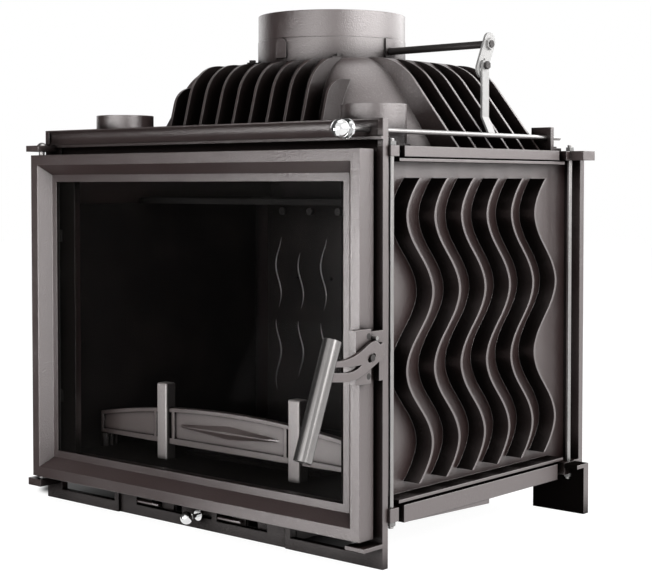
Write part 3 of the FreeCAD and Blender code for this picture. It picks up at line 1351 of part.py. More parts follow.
def fender_band(low_end, low_mid, high_end, high_mid):
    """Front-view band between two flat arcs, run through in Y."""
    left = -FENDER_HALF
    right = FENDER_HALF
    y = -FENDER_Y
    high = arc(Vector(left, y, high_end), Vector(0, y, high_mid), Vector(right, y, high_end))
    if low_mid == low_end:
        low = Part.makeLine(Vector(right, y, low_end), Vector(left, y, low_end))
    else:
        low = arc(Vector(right, y, low_end), Vector(0, y, low_mid), Vector(left, y, low_end))
    wire = Part.Wire([high, Part.makeLine(Vector(right, y, high_end), Vector(right, y, low_end)), low,
                      Part.makeLine(Vector(left, y, low_end), Vector(left, y, high_end))])
    return Part.Face(wire).extrude(Y * (3 * FENDER_Y))


def fender_uprights(rails):
    """Upright beads at the ends of the fender and beside each post."""
    half = FENDER_POST_WIDTH / 2
    starts = [FENDER_HALF - FENDER_RAIL, POST_X - half - 2 * FENDER_RAIL, POST_X + half + FENDER_RAIL]
    depth = 3 * FENDER_Y
    band = fender_band(FENDER_BOTTOM, FENDER_BOTTOM, FENDER_END_TOP, FENDER_TOP)
    strips = []
    for x in starts:
        strips += both_sides(block(x, x + FENDER_RAIL, -FENDER_Y, depth, FENDER_BOTTOM, FENDER_TOP))
    return [rails.common(band).common(strip) for strip in strips]


def leaf_outline(half, end, rise, y, middle):
    """Long six-sided outline that faces along Y, wide at its middle and narrow at both ends."""
    corners = [(-half, -end), (0, -rise), (half, -end), (half, end), (0, rise), (-half, end), (-half, -end)]
    return Part.makePolygon([Vector(x, y, middle + z) for x, z in corners])


def fender_leaf():
    """Shallow leaf on the middle field, raised from inside the panel to a narrow crest."""
    middle = (FENDER_BOTTOM + FENDER_TOP) / 2
    face_y = FENDER_Y - FENDER_BOW
    foot = leaf_outline(POST_X - FENDER_POST_WIDTH, FENDER_LEAF_END, FENDER_LEAF_RISE,
                        face_y + FENDER_THICK / 2, middle)
    crest = leaf_outline(FENDER_LEAF_CREST, FENDER_LEAF_TIP, 2 * FENDER_LEAF_TIP, face_y - FENDER_LEAF, middle)
    return Part.makeLoft([foot, crest], True, True)


def log_fender():
    """Bowed panel between two posts, with beads round its three fields and a leaf in the middle one."""
    wall = bow_wall(FENDER_THICK, 0)
    rails = bow_wall(FENDER_THICK, FENDER_RAIL_PROUD)
    panel = wall.common(fender_band(FENDER_BOTTOM, FENDER_BOTTOM, FENDER_END_TOP, FENDER_TOP))
    high = rails.common(fender_band(FENDER_END_TOP - FENDER_RAIL, FENDER_TOP - FENDER_RAIL,
                                    FENDER_END_TOP, FENDER_TOP))
    low = rails.common(fender_band(FENDER_BOTTOM, FENDER_BOTTOM, FENDER_BOTTOM + FENDER_RAIL,
                                   FENDER_BOTTOM + FENDER_RAIL + FENDER_RAIL_PROUD))
    return joined(panel, high, low, fender_leaf(), *fender_uprights(rails))


def fender_post_solids():
    y = FENDER_Y - FENDER_BOW / 2
    half = FENDER_POST_WIDTH / 2
    post = block(POST_X - half, POST_X + half, y - FENDER_POST_DEPTH, y + FENDER_POST_DEPTH,
                 base_top, base_top + FENDER_POST_HEIGHT)
    edges = [edge for edge in post.Edges if edge.BoundBox.ZMax > base_top + FENDER_POST_HEIGHT / 2]
    return both_sides(post.makeFillet(FENDER_POST_ROUND, edges))


def fender_posts(fender):
    """Posts slotted for the fender, which runs through both of them."""
    return group([post.cut(fender) for post in fender_post_solids()])


def ash_screw_places():
    x = ASH_HALF + ASH_FLANGE / 2
    front = FRONT_THICK + RIM_WIDTH + ASH_SCREW_HEAD * 4
    return [(side * x, y) for side in (-1, 1) for y in (front, ASH_REAR - ASH_SCREW_HEAD * 4)]


def ash_box():
    """Sheet box under the grate, open to the register at its front."""
    rim_back = FRONT_THICK + RIM_WIDTH + SEAT_CLEAR
    throat = BASE_BOTTOM - SEAT_CLEAR
    outer = joined(block(-ASH_HALF, ASH_HALF, rim_back, ASH_REAR, ASH_FLOOR, base_web),
                   block(-ASH_HALF, ASH_HALF, ASH_FRONT, rim_back + ASH_SHEET, ASH_FLOOR, throat),
                   block(-ASH_HALF - ASH_FLANGE, ASH_HALF + ASH_FLANGE, rim_back, ASH_REAR,
                         base_web - ASH_SHEET, base_web))
    inner_half = ASH_HALF - ASH_SHEET
    floor = ASH_FLOOR + ASH_SHEET
    cuts = [block(-inner_half, inner_half, rim_back + ASH_SHEET, ASH_REAR - ASH_SHEET, floor, base_web),
            block(-inner_half, inner_half, ASH_FRONT, rim_back + 2 * ASH_SHEET, floor, throat - ASH_SHEET)]
    cuts += [bar(ASH_SCREW_RADIUS, Vector(x, y, base_web - ASH_SHEET), Vector(x, y, base_web))
             for x, y in ash_screw_places()]
    return outer.cut(cuts)


def ash_screws():
    start = base_web - ASH_SHEET
    return group([round_screw(ASH_SCREW_RADIUS, ASH_SCREW_HEAD, ASH_SCREW_RISE, Vector(x, y, start),
                              WEB_THICK, Z) for x, y in ash_screw_places()])


# The whole insert
side = right_side_plate()
foot = right_rear_foot()
spigot = right_air_spigot()
side_liner = right_side_liner()
fender = log_fender()
nodes = {
    "front_plate": front_plate(), "base_plate": base_plate(), "top_plate": top_plate(),
    "right_side_plate": side, "left_side_plate": mirrored(side), "rear_plate": rear_plate(),
    "tie_rods": tie_rods(), "tie_rod_nuts": tie_rod_nuts(),
    "right_rear_foot": foot, "left_rear_foot": mirrored(foot), "foot_bolts": foot_bolts(),
    "smoke_hood": smoke_hood(), "hood_bolts": hood_bolts(),
    "flue_collar": flue_collar(), "flue_bolts": flue_bolts(),
    "right_air_spigot": spigot, "left_air_spigot": mirrored(spigot),
    "register_panel": register_panel(), "slide_plate": slide_plate(),
    "air_stem": air_stem(), "air_disc": air_disc(), "air_knob": air_knob(),
    "door_frame": door_frame(), "door_glass": door_glass(), "glass_gasket": glass_gasket(),
    "door_rope": door_rope(), "glass_clips": glass_clips(), "clip_screws": clip_screws(),
    "hinge_pins": hinge_pins(), "hinge_washer": hinge_washer(),
    "latch_bracket": latch_bracket(), "latch_screws": latch_screws(), "lever_pivot": lever_pivot(),
    "handle_lever": handle_lever(), "handle_grip": handle_grip(),
    "latch_keeper": latch_keeper(), "keeper_pin": keeper_pin(),
    "damper_spindle": damper_spindle(), "damper_plate": damper_plate(), "damper_screws": damper_screws(),
    "damper_crank": damper_crank(), "crank_nut": crank_nut(),
    "push_rod": push_rod(), "rod_knob": rod_knob(), "rod_disc": rod_disc(),
    "link_post": link_post(), "crank_pin": crank_pin(), "pin_nut": pin_nut(),
    "rod_bracket": rod_bracket(), "bracket_screws": bracket_screws(),
    "right_side_liner": side_liner, "left_side_liner": mirrored(side_liner),
    "rear_liner": rear_liner(), "liner_studs": liner_studs(), "baffle_plate": baffle_plate(),
    "fire_grate": fire_grate(), "log_fender": fender, "fender_posts": fender_posts(fender),
    "ash_box": ash_box(), "ash_screws": ash_screws(),
}

# Origin: bottom centre of the whole bounding box.
whole = FreeCAD.BoundBox()
for shape in nodes.values():
    whole.add(shape.BoundBox)
shift = Vector(-whole.Center.x, -whole.Center.y, -whole.ZMin)

os.makedirs("parts", exist_ok=True)
for name, shape in nodes.items():
    shape.translate(shift)
    shape.exportStep("parts/" + name + ".step")
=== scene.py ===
"""Looks of a cast-iron fireplace insert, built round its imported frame.

The frame brings every casting and fitting at its real size. This add-on gives each of them its finish,
and makes the turned, braided, threaded and cast detail that rides on the frame's bodies.
"""

import math
from functools import reduce
from operator import mul

import bmesh
import bpy
import numpy as np

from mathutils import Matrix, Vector


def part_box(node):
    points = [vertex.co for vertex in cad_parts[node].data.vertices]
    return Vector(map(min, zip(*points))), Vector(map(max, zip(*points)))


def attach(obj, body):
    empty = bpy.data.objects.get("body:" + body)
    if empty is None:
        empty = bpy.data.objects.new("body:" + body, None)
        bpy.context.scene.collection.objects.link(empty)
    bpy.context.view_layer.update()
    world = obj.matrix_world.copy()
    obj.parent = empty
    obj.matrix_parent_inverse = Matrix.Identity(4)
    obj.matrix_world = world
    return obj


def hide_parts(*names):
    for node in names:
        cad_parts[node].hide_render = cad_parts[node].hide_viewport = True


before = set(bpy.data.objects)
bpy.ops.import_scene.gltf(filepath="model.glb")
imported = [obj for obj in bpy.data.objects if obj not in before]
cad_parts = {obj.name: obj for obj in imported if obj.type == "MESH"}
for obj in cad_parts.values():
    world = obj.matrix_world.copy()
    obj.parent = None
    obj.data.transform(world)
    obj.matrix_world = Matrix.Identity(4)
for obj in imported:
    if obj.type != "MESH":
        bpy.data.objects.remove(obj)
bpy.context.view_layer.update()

bl_info = {
    "name": "Fireplace insert looks",
    "version": (1, 0, 0),
    "blender": (4, 5, 0),
    "location": "3D View > Sidebar > Insert",
    "description": "Finishes and fine detail of a cast-iron fireplace insert",
    "category": "Object",
}

IMAGE_WIDTH = 652
IMAGE_HEIGHT = 578
# Near-black matt colour of the painted shade in gaps, recesses and faces turned from the light
SHADE_BLACK = (0.004, 0.0032, 0.003, 1.0)
SHEEN_TINT = (1.0, 0.957, 0.952, 1.0)
WHITE = (1.0, 1.0, 1.0, 1.0)
BLACK = (0.0, 0.0, 0.0, 1.0)
TURN = 2 * np.pi
Y_AXIS = np.array([0.0, 1.0, 0.0])

# Grain of the sand castings, and how far round a point gaps are felt for the painted shade in them
SWELL = 0.045
GRIT = 0.0022
FINE_GRIT = 0.0011
GRIT_DEPTH = 0.00044
PAINT_IOR = 1.8
GAP_REACH = 0.045
FENDER_REACH = 0.008

# How far the painted shade on the hearth reaches before and below the side linings, and its soft rim
HEARTH_RIM = Vector((0.0, 0.022, 0.02))
SOFT_RIM = 0.004

# Floor, and the dark cloth at the left
FLOOR_REACH = 8.0
FLOOR_GLOW = 0.95
FLOOR_MATT = 0.25
BAND_SLANT = 1.1
COVE_REACH = 2.9
CLOTH_REACH = 1.2
CLOTH_NEAR = 0.36
CLOTH_FRONT = 0.2
CLOTH_LIFT = 0.001
CLOTH_GREY = (0.09, 0.09, 0.09, 1.0)

# Frame nodes by the finish that they take
CASTINGS = ("front_plate", "top_plate", "rear_plate", "flue_collar", "right_air_spigot", "left_air_spigot",
            "register_panel", "door_frame", "latch_bracket", "latch_keeper", "rod_bracket", "handle_lever")
FINNED_CASTINGS = ("right_side_plate", "left_side_plate")
FEET = ("right_rear_foot", "left_rear_foot")
LINERS = ("right_side_liner", "left_side_liner", "rear_liner")
SOOTED = ("baffle_plate", "fire_grate")
ZINC_STRIPS = ("link_post", "damper_crank", "crank_nut")
LONG_RODS = ("push_rod",)
UPRIGHT_RODS = ("tie_rods", "hinge_pins", "hinge_washer")
CROSS_PINS = ("keeper_pin",)
DARK_STEEL = ("lever_pivot", "foot_bolts", "hood_bolts", "flue_bolts", "glass_clips", "clip_screws",
              "latch_screws", "damper_spindle", "damper_plate", "damper_screws", "crank_pin", "pin_nut",
              "bracket_screws", "liner_studs", "ash_box", "ash_screws", "slide_plate")
BRIGHT_TURNED = ("rod_disc", "air_disc", "air_stem")


# Settings

class FinishSettings(bpy.types.PropertyGroup):
    """Colours of the insert's finishes."""

    paint: bpy.props.FloatVectorProperty(
        name="Stove paint", description="Graphite paint on the castings", subtype="COLOR",
        default=(0.025, 0.0118, 0.0110), min=0.0, max=1.0)
    paint_edge: bpy.props.FloatVectorProperty(
        name="Thin paint", description="Paint where it thins over edges and high grains", subtype="COLOR",
        default=(0.065, 0.056, 0.054), min=0.0, max=1.0)
    liner: bpy.props.FloatVectorProperty(
        name="Fire lining", description="Bare lining plates in the firebox", subtype="COLOR",
        default=(0.009, 0.0068, 0.0064), min=0.0, max=1.0)
    steel: bpy.props.FloatVectorProperty(
        name="Bright steel", description="Rods and the handle's tube", subtype="COLOR",
        default=(0.34, 0.33, 0.325), min=0.0, max=1.0)
    grip: bpy.props.FloatVectorProperty(
        name="Handle tube", description="Satin graphite plating of the handle's tube", subtype="COLOR",
        default=(0.24, 0.23, 0.226), min=0.0, max=1.0)
    # The fender's colour is a paler copy of the stove paint: painted light
    fender: bpy.props.FloatVectorProperty(
        name="Fender paint", description="Thinner paint on the log fender", subtype="COLOR",
        default=(0.075, 0.058, 0.055), min=0.0, max=1.0)
    # The posts' colour is a much paler copy of the stove paint: painted light
    post: bpy.props.FloatVectorProperty(
        name="Post paint", description="Rubbed paint on the fender's posts", subtype="COLOR",
        default=(0.26, 0.235, 0.23), min=0.0, max=1.0)
    zinc: bpy.props.FloatVectorProperty(
        name="Zinc plate", description="Crank and link strip of the damper", subtype="COLOR",
        default=(0.36, 0.355, 0.35), min=0.0, max=1.0)
    dark_steel: bpy.props.FloatVectorProperty(
        name="Blackened steel", description="Bolts, clips and the damper plate", subtype="COLOR",
        default=(0.05, 0.046, 0.045), min=0.0, max=1.0)
    chrome: bpy.props.FloatVectorProperty(
        name="Chrome", description="Ball knobs and their discs", subtype="COLOR",
        default=(0.74, 0.74, 0.74), min=0.0, max=1.0)
    glass: bpy.props.FloatVectorProperty(
        name="Fire glass", description="Smoke film on the door's glass", subtype="COLOR",
        default=(0.012, 0.011, 0.010), min=0.0, max=1.0)
    rope: bpy.props.FloatVectorProperty(
        name="Sealing rope", description="Braided rope and glass tape", subtype="COLOR",
        default=(0.045, 0.043, 0.042), min=0.0, max=1.0)


class DetailSettings(bpy.types.PropertyGroup):
    """Sizes of the fine detail."""

    edge_round: bpy.props.FloatProperty(
        name="Casting edge", description="Rounding that a casting's edges show", unit="LENGTH",
        default=0.0013, min=0.0002, max=0.004)
    braid_pitch: bpy.props.FloatProperty(
        name="Braid pitch", description="Length of rope in which a strand goes once round", unit="LENGTH",
        default=0.022, min=0.008, max=0.05)
    wave_columns: bpy.props.IntProperty(
        name="Liner waves", description="Wavy ribs across the rear lining", default=10, min=2, max=16)
    wave_swing: bpy.props.FloatProperty(
        name="Wave swing", description="Sideways swing of a rib on the rear lining", unit="LENGTH",
        default=0.0055, min=0.001, max=0.012)
    wave_length: bpy.props.FloatProperty(
        name="Wave length", description="Height of one wave of a rib", unit="LENGTH",
        default=0.088, min=0.03, max=0.2)
    rib_width: bpy.props.FloatProperty(
        name="Rib width", description="Half width of a rib on the rear lining", unit="LENGTH",
        default=0.0016, min=0.0005, max=0.004)
    thread_pitch: bpy.props.FloatProperty(
        name="Thread pitch", description="Pitch of the tie rods' threads", unit="LENGTH",
        default=0.001, min=0.0004, max=0.002)


class StageSettings(bpy.types.PropertyGroup):
    """Camera, lamps and floor."""

    camera_place: bpy.props.FloatVectorProperty(
        name="Camera place", description="Where the camera stands", subtype="TRANSLATION", unit="LENGTH",
        default=(1.3120, -1.3963, 0.4289))
    camera_turn: bpy.props.FloatProperty(
        name="Camera turn", description="Turn to the left of straight at the door", subtype="ANGLE",
        default=math.radians(41.10))
    camera_dip: bpy.props.FloatProperty(
        name="Camera dip", description="Tilt below the horizon", subtype="ANGLE", default=math.radians(2.08))
    focal_pixels: bpy.props.FloatProperty(
        name="Focal length", description="Focal length in pixels of the frame", default=1460.7, min=100.0)
    axis_row: bpy.props.FloatProperty(
        name="Axis row", description="Pixel row of the lens axis, from the top", default=238.84)
    key_level: bpy.props.FloatProperty(
        name="Front softbox", description="Radiance of the softbox in front of the door",
        default=1.8, min=0.0)
    low_level: bpy.props.FloatProperty(
        name="Low softbox", description="Radiance of the low softbox before the door", default=7.5, min=0.0)
    side_level: bpy.props.FloatProperty(
        name="Side softbox", description="Radiance of the high softbox at the right", default=3.7, min=0.0)
    rear_level: bpy.props.FloatProperty(
        name="Rear softbox", description="Radiance of the softbox behind", default=2.6, min=0.0)
    left_level: bpy.props.FloatProperty(
        name="Left softbox", description="Radiance of the softbox at the left", default=1.4, min=0.0)
    top_level: bpy.props.FloatProperty(
        name="Top softbox", description="Radiance of the softbox overhead", default=1.0, min=0.0)
    sky_level: bpy.props.FloatProperty(
        name="Sky", description="Even light from all round on matt surfaces", default=0.3, min=0.0)
    floor: bpy.props.FloatVectorProperty(
        name="Floor", description="Pale floor", subtype="COLOR", default=(0.8, 0.8, 0.8), min=0.0, max=1.0)


# Shader graphs

class Socket:
    """One output of a node; sums, differences, products and powers of sockets add Math nodes."""

    def __init__(self, graph, socket):
        self.graph = graph
        self.socket = socket

    def maths(self, operation, first, second):
        return self.graph.node("Math", {"operation": operation}, {0: first, 1: second})

    def __add__(self, other):
        return self.maths("ADD", self, other)

    __radd__ = __add__

    def __sub__(self, other):
        return self.maths("SUBTRACT", self, other)

    def __rsub__(self, other):
        return self.maths("SUBTRACT", other, self)

    def __mul__(self, other):
        return self.maths("MULTIPLY", self, other)

    __rmul__ = __mul__

    def __pow__(self, other):
        return self.maths("POWER", self, other)


class Graph:
    """Builds one node tree; node() is the only place that adds a node."""

    def __init__(self, tree):
        self.tree = tree
        tree.nodes.clear()

    def node(self, kind, settings=None, values=None, output=0):
        made = self.tree.nodes.new("ShaderNode" + kind)
        for name, setting in (settings or {}).items():
            setattr(made, name, setting)
        for name, value in (values or {}).items():
            if isinstance(value, Socket):
                self.tree.links.new(value.socket, made.inputs[name])
            else:
                made.inputs[name].default_value = value
        return Socket(self, made.outputs[output]) if made.outputs else made

    def place(self):
        return self.node("TexCoord", output="Object")

    def along(self, axis, vector=None):
        """One part of a vector, or of the place."""
        return self.node("SeparateXYZ", None, {"Vector": vector or self.place()}, axis)

    def unsigned(self, value):
        return self.node("Math", {"operation": "ABSOLUTE"}, {0: value})

    def most(self, first, second):
        return self.node("Math", {"operation": "MAXIMUM"}, {0: first, 1: second})

    def noise(self, where, cell, detail=2.0, roughness=0.5):
        """Noise with features about as long as cell, in metres."""
        return self.node("TexNoise", None, {"Vector": where, "Scale": 1.0 / cell, "Detail": detail,
                                            "Roughness": roughness})

    def stretched(self, where, scale):
        return self.node("Mapping", None, {"Vector": where, "Scale": scale})

    def ramp(self, value, low, high):
        """0 below low, 1 above high, and a smooth step between them."""
        return self.node("MapRange", {"interpolation_type": "SMOOTHSTEP"},
                         {"Value": value, "From Min": low, "From Max": high})

    def blend(self, factor, first, second):
        """Colour between first and second."""
        return self.node("Mix", {"data_type": "RGBA"}, {0: factor, 6: first, 7: second}, 2)

    def bump(self, height, depth, normal=None):
        values = {"Height": height, "Distance": depth, "Strength": 1.0}
        if normal:
            values["Normal"] = normal
        return self.node("Bump", None, values)

    def rounded(self, radius):
        """Normal that turns over each edge as if the edge were rounded."""
        return self.node("Bevel", {"samples": 4}, {"Radius": radius})

    def openness(self, depth):
        """1 on open faces and less in gaps, from how much of the surroundings is within a depth."""
        return self.node("AmbientOcclusion", {"samples": 6}, {"Distance": depth}, "AO")

    def flank(self, start=0.45, end=0.85):
        """1 on faces that look along the insert or up, 0 on faces that look sideways."""
        sideways = self.along("X", self.node("TexCoord", output="Normal"))
        return 1 - self.ramp(self.unsigned(sideways), start, end)

    def within(self, low, high):
        """1 inside the box from low to high, 0 outside it, with a short soft rim."""
        bands = []
        for axis, start, end in zip("XYZ", low, high):
            place = self.along(axis)
            past_start = self.ramp(place, start, start + SOFT_RIM)
            past_end = self.ramp(place, end - SOFT_RIM, end)
            bands.append(past_start * (1 - past_end))
        return reduce(mul, bands)

    def edge(self, rounded):
        """0 on flat faces, rising on edges, from how far the rounded normal leaves the face's own."""
        face = self.node("NewGeometry", output="Normal")
        return 1 - self.node("VectorMath", {"operation": "DOT_PRODUCT"}, {0: rounded, 1: face}, "Value")


def new_finish(name):
    material = bpy.data.materials.new(name)
    material.use_nodes = True
    return material, Graph(material.node_tree)


def end_finish(graph, values, shade_mask=None):
    """Ends a finish with its shader; a shade mask lays painted shade, a near-black matt coat, over it."""
    shader = graph.node("BsdfPrincipled", None, values)
    if shade_mask:
        painted_shade = graph.node("BsdfDiffuse", None, {"Color": SHADE_BLACK})
        shader = graph.node("MixShader", None, {0: shade_mask, 1: shader, 2: painted_shade})
    graph.node("OutputMaterial", None, {"Surface": shader})


def tint(colour, share=1.0):
    return (colour[0] * share, colour[1] * share, colour[2] * share, 1.0)


def stove_paint(name, colour, thin, edge_round, reach=GAP_REACH, gap=(0.38, 0.95), facing_shade=None, painted_shade=None):
    """Satin graphite paint on sand-cast iron.

    Sand grit about 2 mm across makes the height, and slow swells the sheen; the paint is paler and
    smoother where it thins over edges and high grains. Painted shade, a near-black matt coat, lies over
    it where a gap leaves little open within reach, between the two shares in gap. A second pair of shares,
    where given, lays the same painted shade on faces that do not look sideways, between its two shares of
    openness. A further mask, where given, lays painted shade on what else it covers.
    """
    material, graph = new_finish(name)
    where = graph.place()
    swell = graph.noise(where, SWELL, 3.0)
    grit = graph.noise(where, GRIT, 2.0, 0.6)
    fine = graph.noise(where, FINE_GRIT, 1.0)
    rounded = graph.rounded(edge_round)
    openness = graph.openness(reach)
    # Painted shade: near black where a gap leaves little open, and on the masked faces
    shade_share = 1 - graph.ramp(openness, gap[0], gap[1])
    if facing_shade:
        shade_share = graph.most(shade_share, graph.flank() * (1 - graph.ramp(openness, facing_shade[0], facing_shade[1])))
    if painted_shade:
        shade_share = graph.most(shade_share, painted_shade(graph))
    worn = graph.ramp(graph.edge(rounded), 0.02, 0.25)
    high = graph.ramp(grit, 0.52, 0.72)
    thinness = graph.ramp(worn * 0.55 + high * 0.4 + swell * 0.25, 0.1, 1.1)
    height = grit * 0.7 + fine * 0.3
    end_finish(graph, {
        "Base Color": graph.blend(thinness, tint(colour), tint(thin)),
        "Roughness": 0.25 + swell * 0.12 - worn * 0.04,
        "IOR": PAINT_IOR,
        "Specular IOR Level": 1.0,
        "Specular Tint": SHEEN_TINT,
        "Normal": graph.bump(height, GRIT_DEPTH, rounded),
    }, shade_share)
    return material


def fire_lining(name, colour, edge_round):
    """Matt lining plates: coarse cast grain, with paler heat bloom in broad clouds, and painted shade, near
    black, in their gaps.
    """
    material, graph = new_finish(name)
    where = graph.place()
    cloud = graph.ramp(graph.noise(where, 0.07, 4.0), 0.35, 0.75)
    grit = graph.noise(where, 0.0024, 3.0, 0.6)
    rounded = graph.rounded(edge_round)
    end_finish(graph, {
        "Base Color": graph.blend(cloud, tint(colour, 0.7), tint(colour, 1.7)),
        "Roughness": 0.62 + grit * 0.25,
        "Specular IOR Level": 0.2,
        "Normal": graph.bump(grit, 0.0003, rounded),
    # Painted shade, near black, where the lining's gaps leave little open
    }, 1 - graph.ramp(graph.openness(0.06), 0.3, 0.95))
    return material


def drawn_steel(name, colour, along, streaks=1.0):
    """Bright drawn bar: fine streaks that run the way the bar was drawn, given by a small scale."""
    material, graph = new_finish(name)
    where = graph.place()
    streak = graph.noise(graph.stretched(where, along), 0.0007, 2.0)
    stain = graph.noise(where, 0.02, 3.0)
    end_finish(graph, {
        "Base Color": graph.blend(stain, tint(colour, 0.82), tint(colour, 1.08)),
        "Metallic": 1.0,
        "Roughness": 0.22 + streak * (0.12 * streaks),
        "Normal": graph.bump(streak, 0.00005 * streaks),
    })
    return material


def zinc_plate(name, colour, edge_round):
    """Zinc-plated strip: a faint spangle of crystals a few millimetres across."""
    material, graph = new_finish(name)
    where = graph.place()
    spangle = graph.node("TexVoronoi", None, {"Vector": where, "Scale": 260.0}, "Color")
    grey = graph.node("RGBToBW", None, {"Color": spangle})
    cloud = graph.noise(where, 0.01, 2.0)
    end_finish(graph, {
        "Base Color": graph.blend(grey, tint(colour, 0.88), tint(colour, 1.04)),
        "Metallic": 0.6,
        "Roughness": 0.42 + grey * 0.12 + cloud * 0.08,
        "Normal": graph.rounded(edge_round),
    })
    return material


def black_steel(name, colour, edge_round):
    """Oil-blackened steel, rubbed paler on its edges."""
    material, graph = new_finish(name)
    where = graph.place()
    cloud = graph.noise(where, 0.012, 3.0)
    grain = graph.noise(where, 0.0009, 2.0)
    rounded = graph.rounded(edge_round)
    rubbed = graph.ramp(graph.edge(rounded), 0.03, 0.3)
    end_finish(graph, {
        "Base Color": graph.blend(rubbed, tint(colour), tint(colour, 3.0)),
        "Metallic": 0.75,
        "Roughness": 0.38 + cloud * 0.2,
        "Normal": graph.bump(grain, 0.00006, rounded),
    })
    return material


def chrome_plate(name, colour, edge_round):
    """Polished chrome with a faint haze of handling."""
    material, graph = new_finish(name)
    where = graph.place()
    haze = graph.noise(where, 0.006, 3.0)
    end_finish(graph, {
        "Base Color": tint(colour),
        "Metallic": 1.0,
        "Roughness": 0.05 + haze * 0.09,
        "Normal": graph.rounded(edge_round),
    })
    return material


def fire_glass(name, film, low, high):
    """Clear pane with a smoke film that gathers towards its rim.

    The film's cover grows as 1 minus the product of two bumps, each 0 at opposite edges of the pane.
    """
    material, graph = new_finish(name)
    where = graph.place()
    bumps = []
    for axis, a, b in (("X", low.x, high.x), ("Z", low.z, high.z)):
        middle = (a + b) / 2
        half = (b - a) / 2
        bumps.append(1 - graph.unsigned((graph.along(axis) - middle) * (1 / half)) ** 8.0)
    cloud = graph.noise(where, 0.06, 4.0)
    cover = (1 - reduce(mul, bumps)) * 0.4 * cloud + 0.007
    pane = graph.node("BsdfPrincipled", None, {"Base Color": tint(film), "Roughness": 0.3,
                                               "Specular IOR Level": 0.1, "Alpha": cover})
    shine = graph.node("BsdfGlossy", None, {"Color": WHITE, "Roughness": 0.015})
    edge_on = graph.node("LayerWeight", None, {"Blend": 0.5}, "Facing")
    mirror = 0.001 + edge_on ** 6.0 * 0.5
    both = graph.node("MixShader", None, {0: mirror, 1: pane, 2: shine})
    graph.node("OutputMaterial", None, {"Surface": both})
    return material


def glass_rope(name, colour):
    """Graphited glass-fibre yarn: soft, with a thin sheen and stray pale fibres."""
    material, graph = new_finish(name)
    where = graph.place()
    fibre = graph.noise(graph.stretched(where, (1.0, 0.3, 1.0)), 0.0005, 2.0)
    end_finish(graph, {
        "Base Color": graph.blend(graph.ramp(fibre, 0.4, 0.8), tint(colour, 0.7), tint(colour, 2.2)),
        "Roughness": 0.85,
        "Sheen Weight": 0.3,
        "Normal": graph.bump(fibre, 0.0001),
    })
    return material


# Surfaces

def grid_faces(rows, columns, wrap_rows, wrap_columns):
    """Quads between neighbouring points of a grid, joined round where it wraps."""
    row, column = np.meshgrid(np.arange(rows - (not wrap_rows)), np.arange(columns - (not wrap_columns)),
                              indexing="ij")
    next_row = (row + 1) % rows
    next_column = (column + 1) % columns
    corners = [row * columns + column, next_row * columns + column,
               next_row * columns + next_column, row * columns + next_column]
    return np.stack(corners, -1).reshape(-1, 4)


def mesh_of(name, sheets, crease=40.0):
    """One mesh from grids, each (points, wrap_rows, wrap_columns); poles and seams are merged."""
    points = []
    faces = []
    count = 0
    for sheet, wrap_rows, wrap_columns in sheets:
        rows, columns = sheet.shape[:2]
        points.append(sheet.reshape(-1, 3))
        faces.append(grid_faces(rows, columns, wrap_rows, wrap_columns) + count)
        count += rows * columns
    mesh = bpy.data.meshes.new(name)
    mesh.from_pydata(np.concatenate(points).tolist(), [], np.concatenate(faces).tolist())
    work = bmesh.new()
    work.from_mesh(mesh)
    bmesh.ops.remove_doubles(work, verts=work.verts, dist=1e-6)
    bmesh.ops.recalc_face_normals(work, faces=work.faces)
    work.to_mesh(mesh)
    work.free()
    mesh.shade_smooth()
    mesh.set_sharp_from_angle(angle=math.radians(crease))
    return mesh


def add_piece(name, mesh, body, finish, replaced=()):
    piece = bpy.data.objects.new(name, mesh)
    bpy.context.scene.collection.objects.link(piece)
    mesh.materials.append(finish)
    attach(piece, body)
    if replaced:
        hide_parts(*replaced)


def across_axis(axis):
    """Two unit vectors square to axis and to each other."""
    axis = np.asarray(axis, float)
    helper = np.eye(3)[np.argmin(np.abs(axis))]
    first = np.cross(axis, helper)
    first /= np.linalg.norm(first)
    return first, np.cross(axis, first)


def turned(profile, base, axis, steps=64):
    """Turned surface: base + h(s) axis + r(s) (across cos t + up sin t), from a profile of (r, h)."""
    profile = np.asarray(profile, float)
    across, up = across_axis(axis)
    turn = np.linspace(0, TURN, steps, endpoint=False)
    ring = np.cos(turn)[:, None] * across + np.sin(turn)[:, None] * up
    return (np.asarray(base, float) + profile[:, 1, None, None] * np.asarray(axis, float)
            + profile[:, 0, None, None] * ring)


def rounded_ring(half_width, half_height, corner, centre, step):
    """Points along a rounded rectangle in the XZ plane, evenly spaced, with their outward directions.

    Straight runs and quarter circles are laid end to end by arc length.
    """
    runs = [2 * (half_height - corner), corner * np.pi / 2, 2 * (half_width - corner), corner * np.pi / 2]
    length = 2 * sum(runs)
    s = np.arange(0, length, length / round(length / step))
    marks = np.concatenate([[0], np.cumsum(runs * 2)])
    leg = np.searchsorted(marks, s, side="right") - 1
    along = s - marks[leg]
    side = leg // 2
    turn = np.where(leg % 2 == 1, along / corner, 0.0) + side * np.pi / 2
    outward = np.stack([np.cos(turn), np.sin(turn)], -1)
    start_corner = np.array([[1, -1], [1, 1], [-1, 1], [-1, -1]])
    pivot = start_corner * np.array([half_width - corner, half_height - corner])
    straight = leg % 2 == 0
    heading = np.stack([-np.sin(side * np.pi / 2), np.cos(side * np.pi / 2)], -1)
    place = np.where(straight[:, None], pivot[side] + heading * along[:, None], pivot[(side + 1) % 4])
    flat = place + outward * corner
    points = np.stack([centre[0] + flat[:, 0], np.full(len(s), centre[1]), centre[2] + flat[:, 1]], -1)
    directions = np.stack([outward[:, 0], np.zeros(len(s)), outward[:, 1]], -1)
    return points, directions, s


# Operators

def dress(names, finish):
    for name in names:
        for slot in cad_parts[name].material_slots:
            slot.material = finish


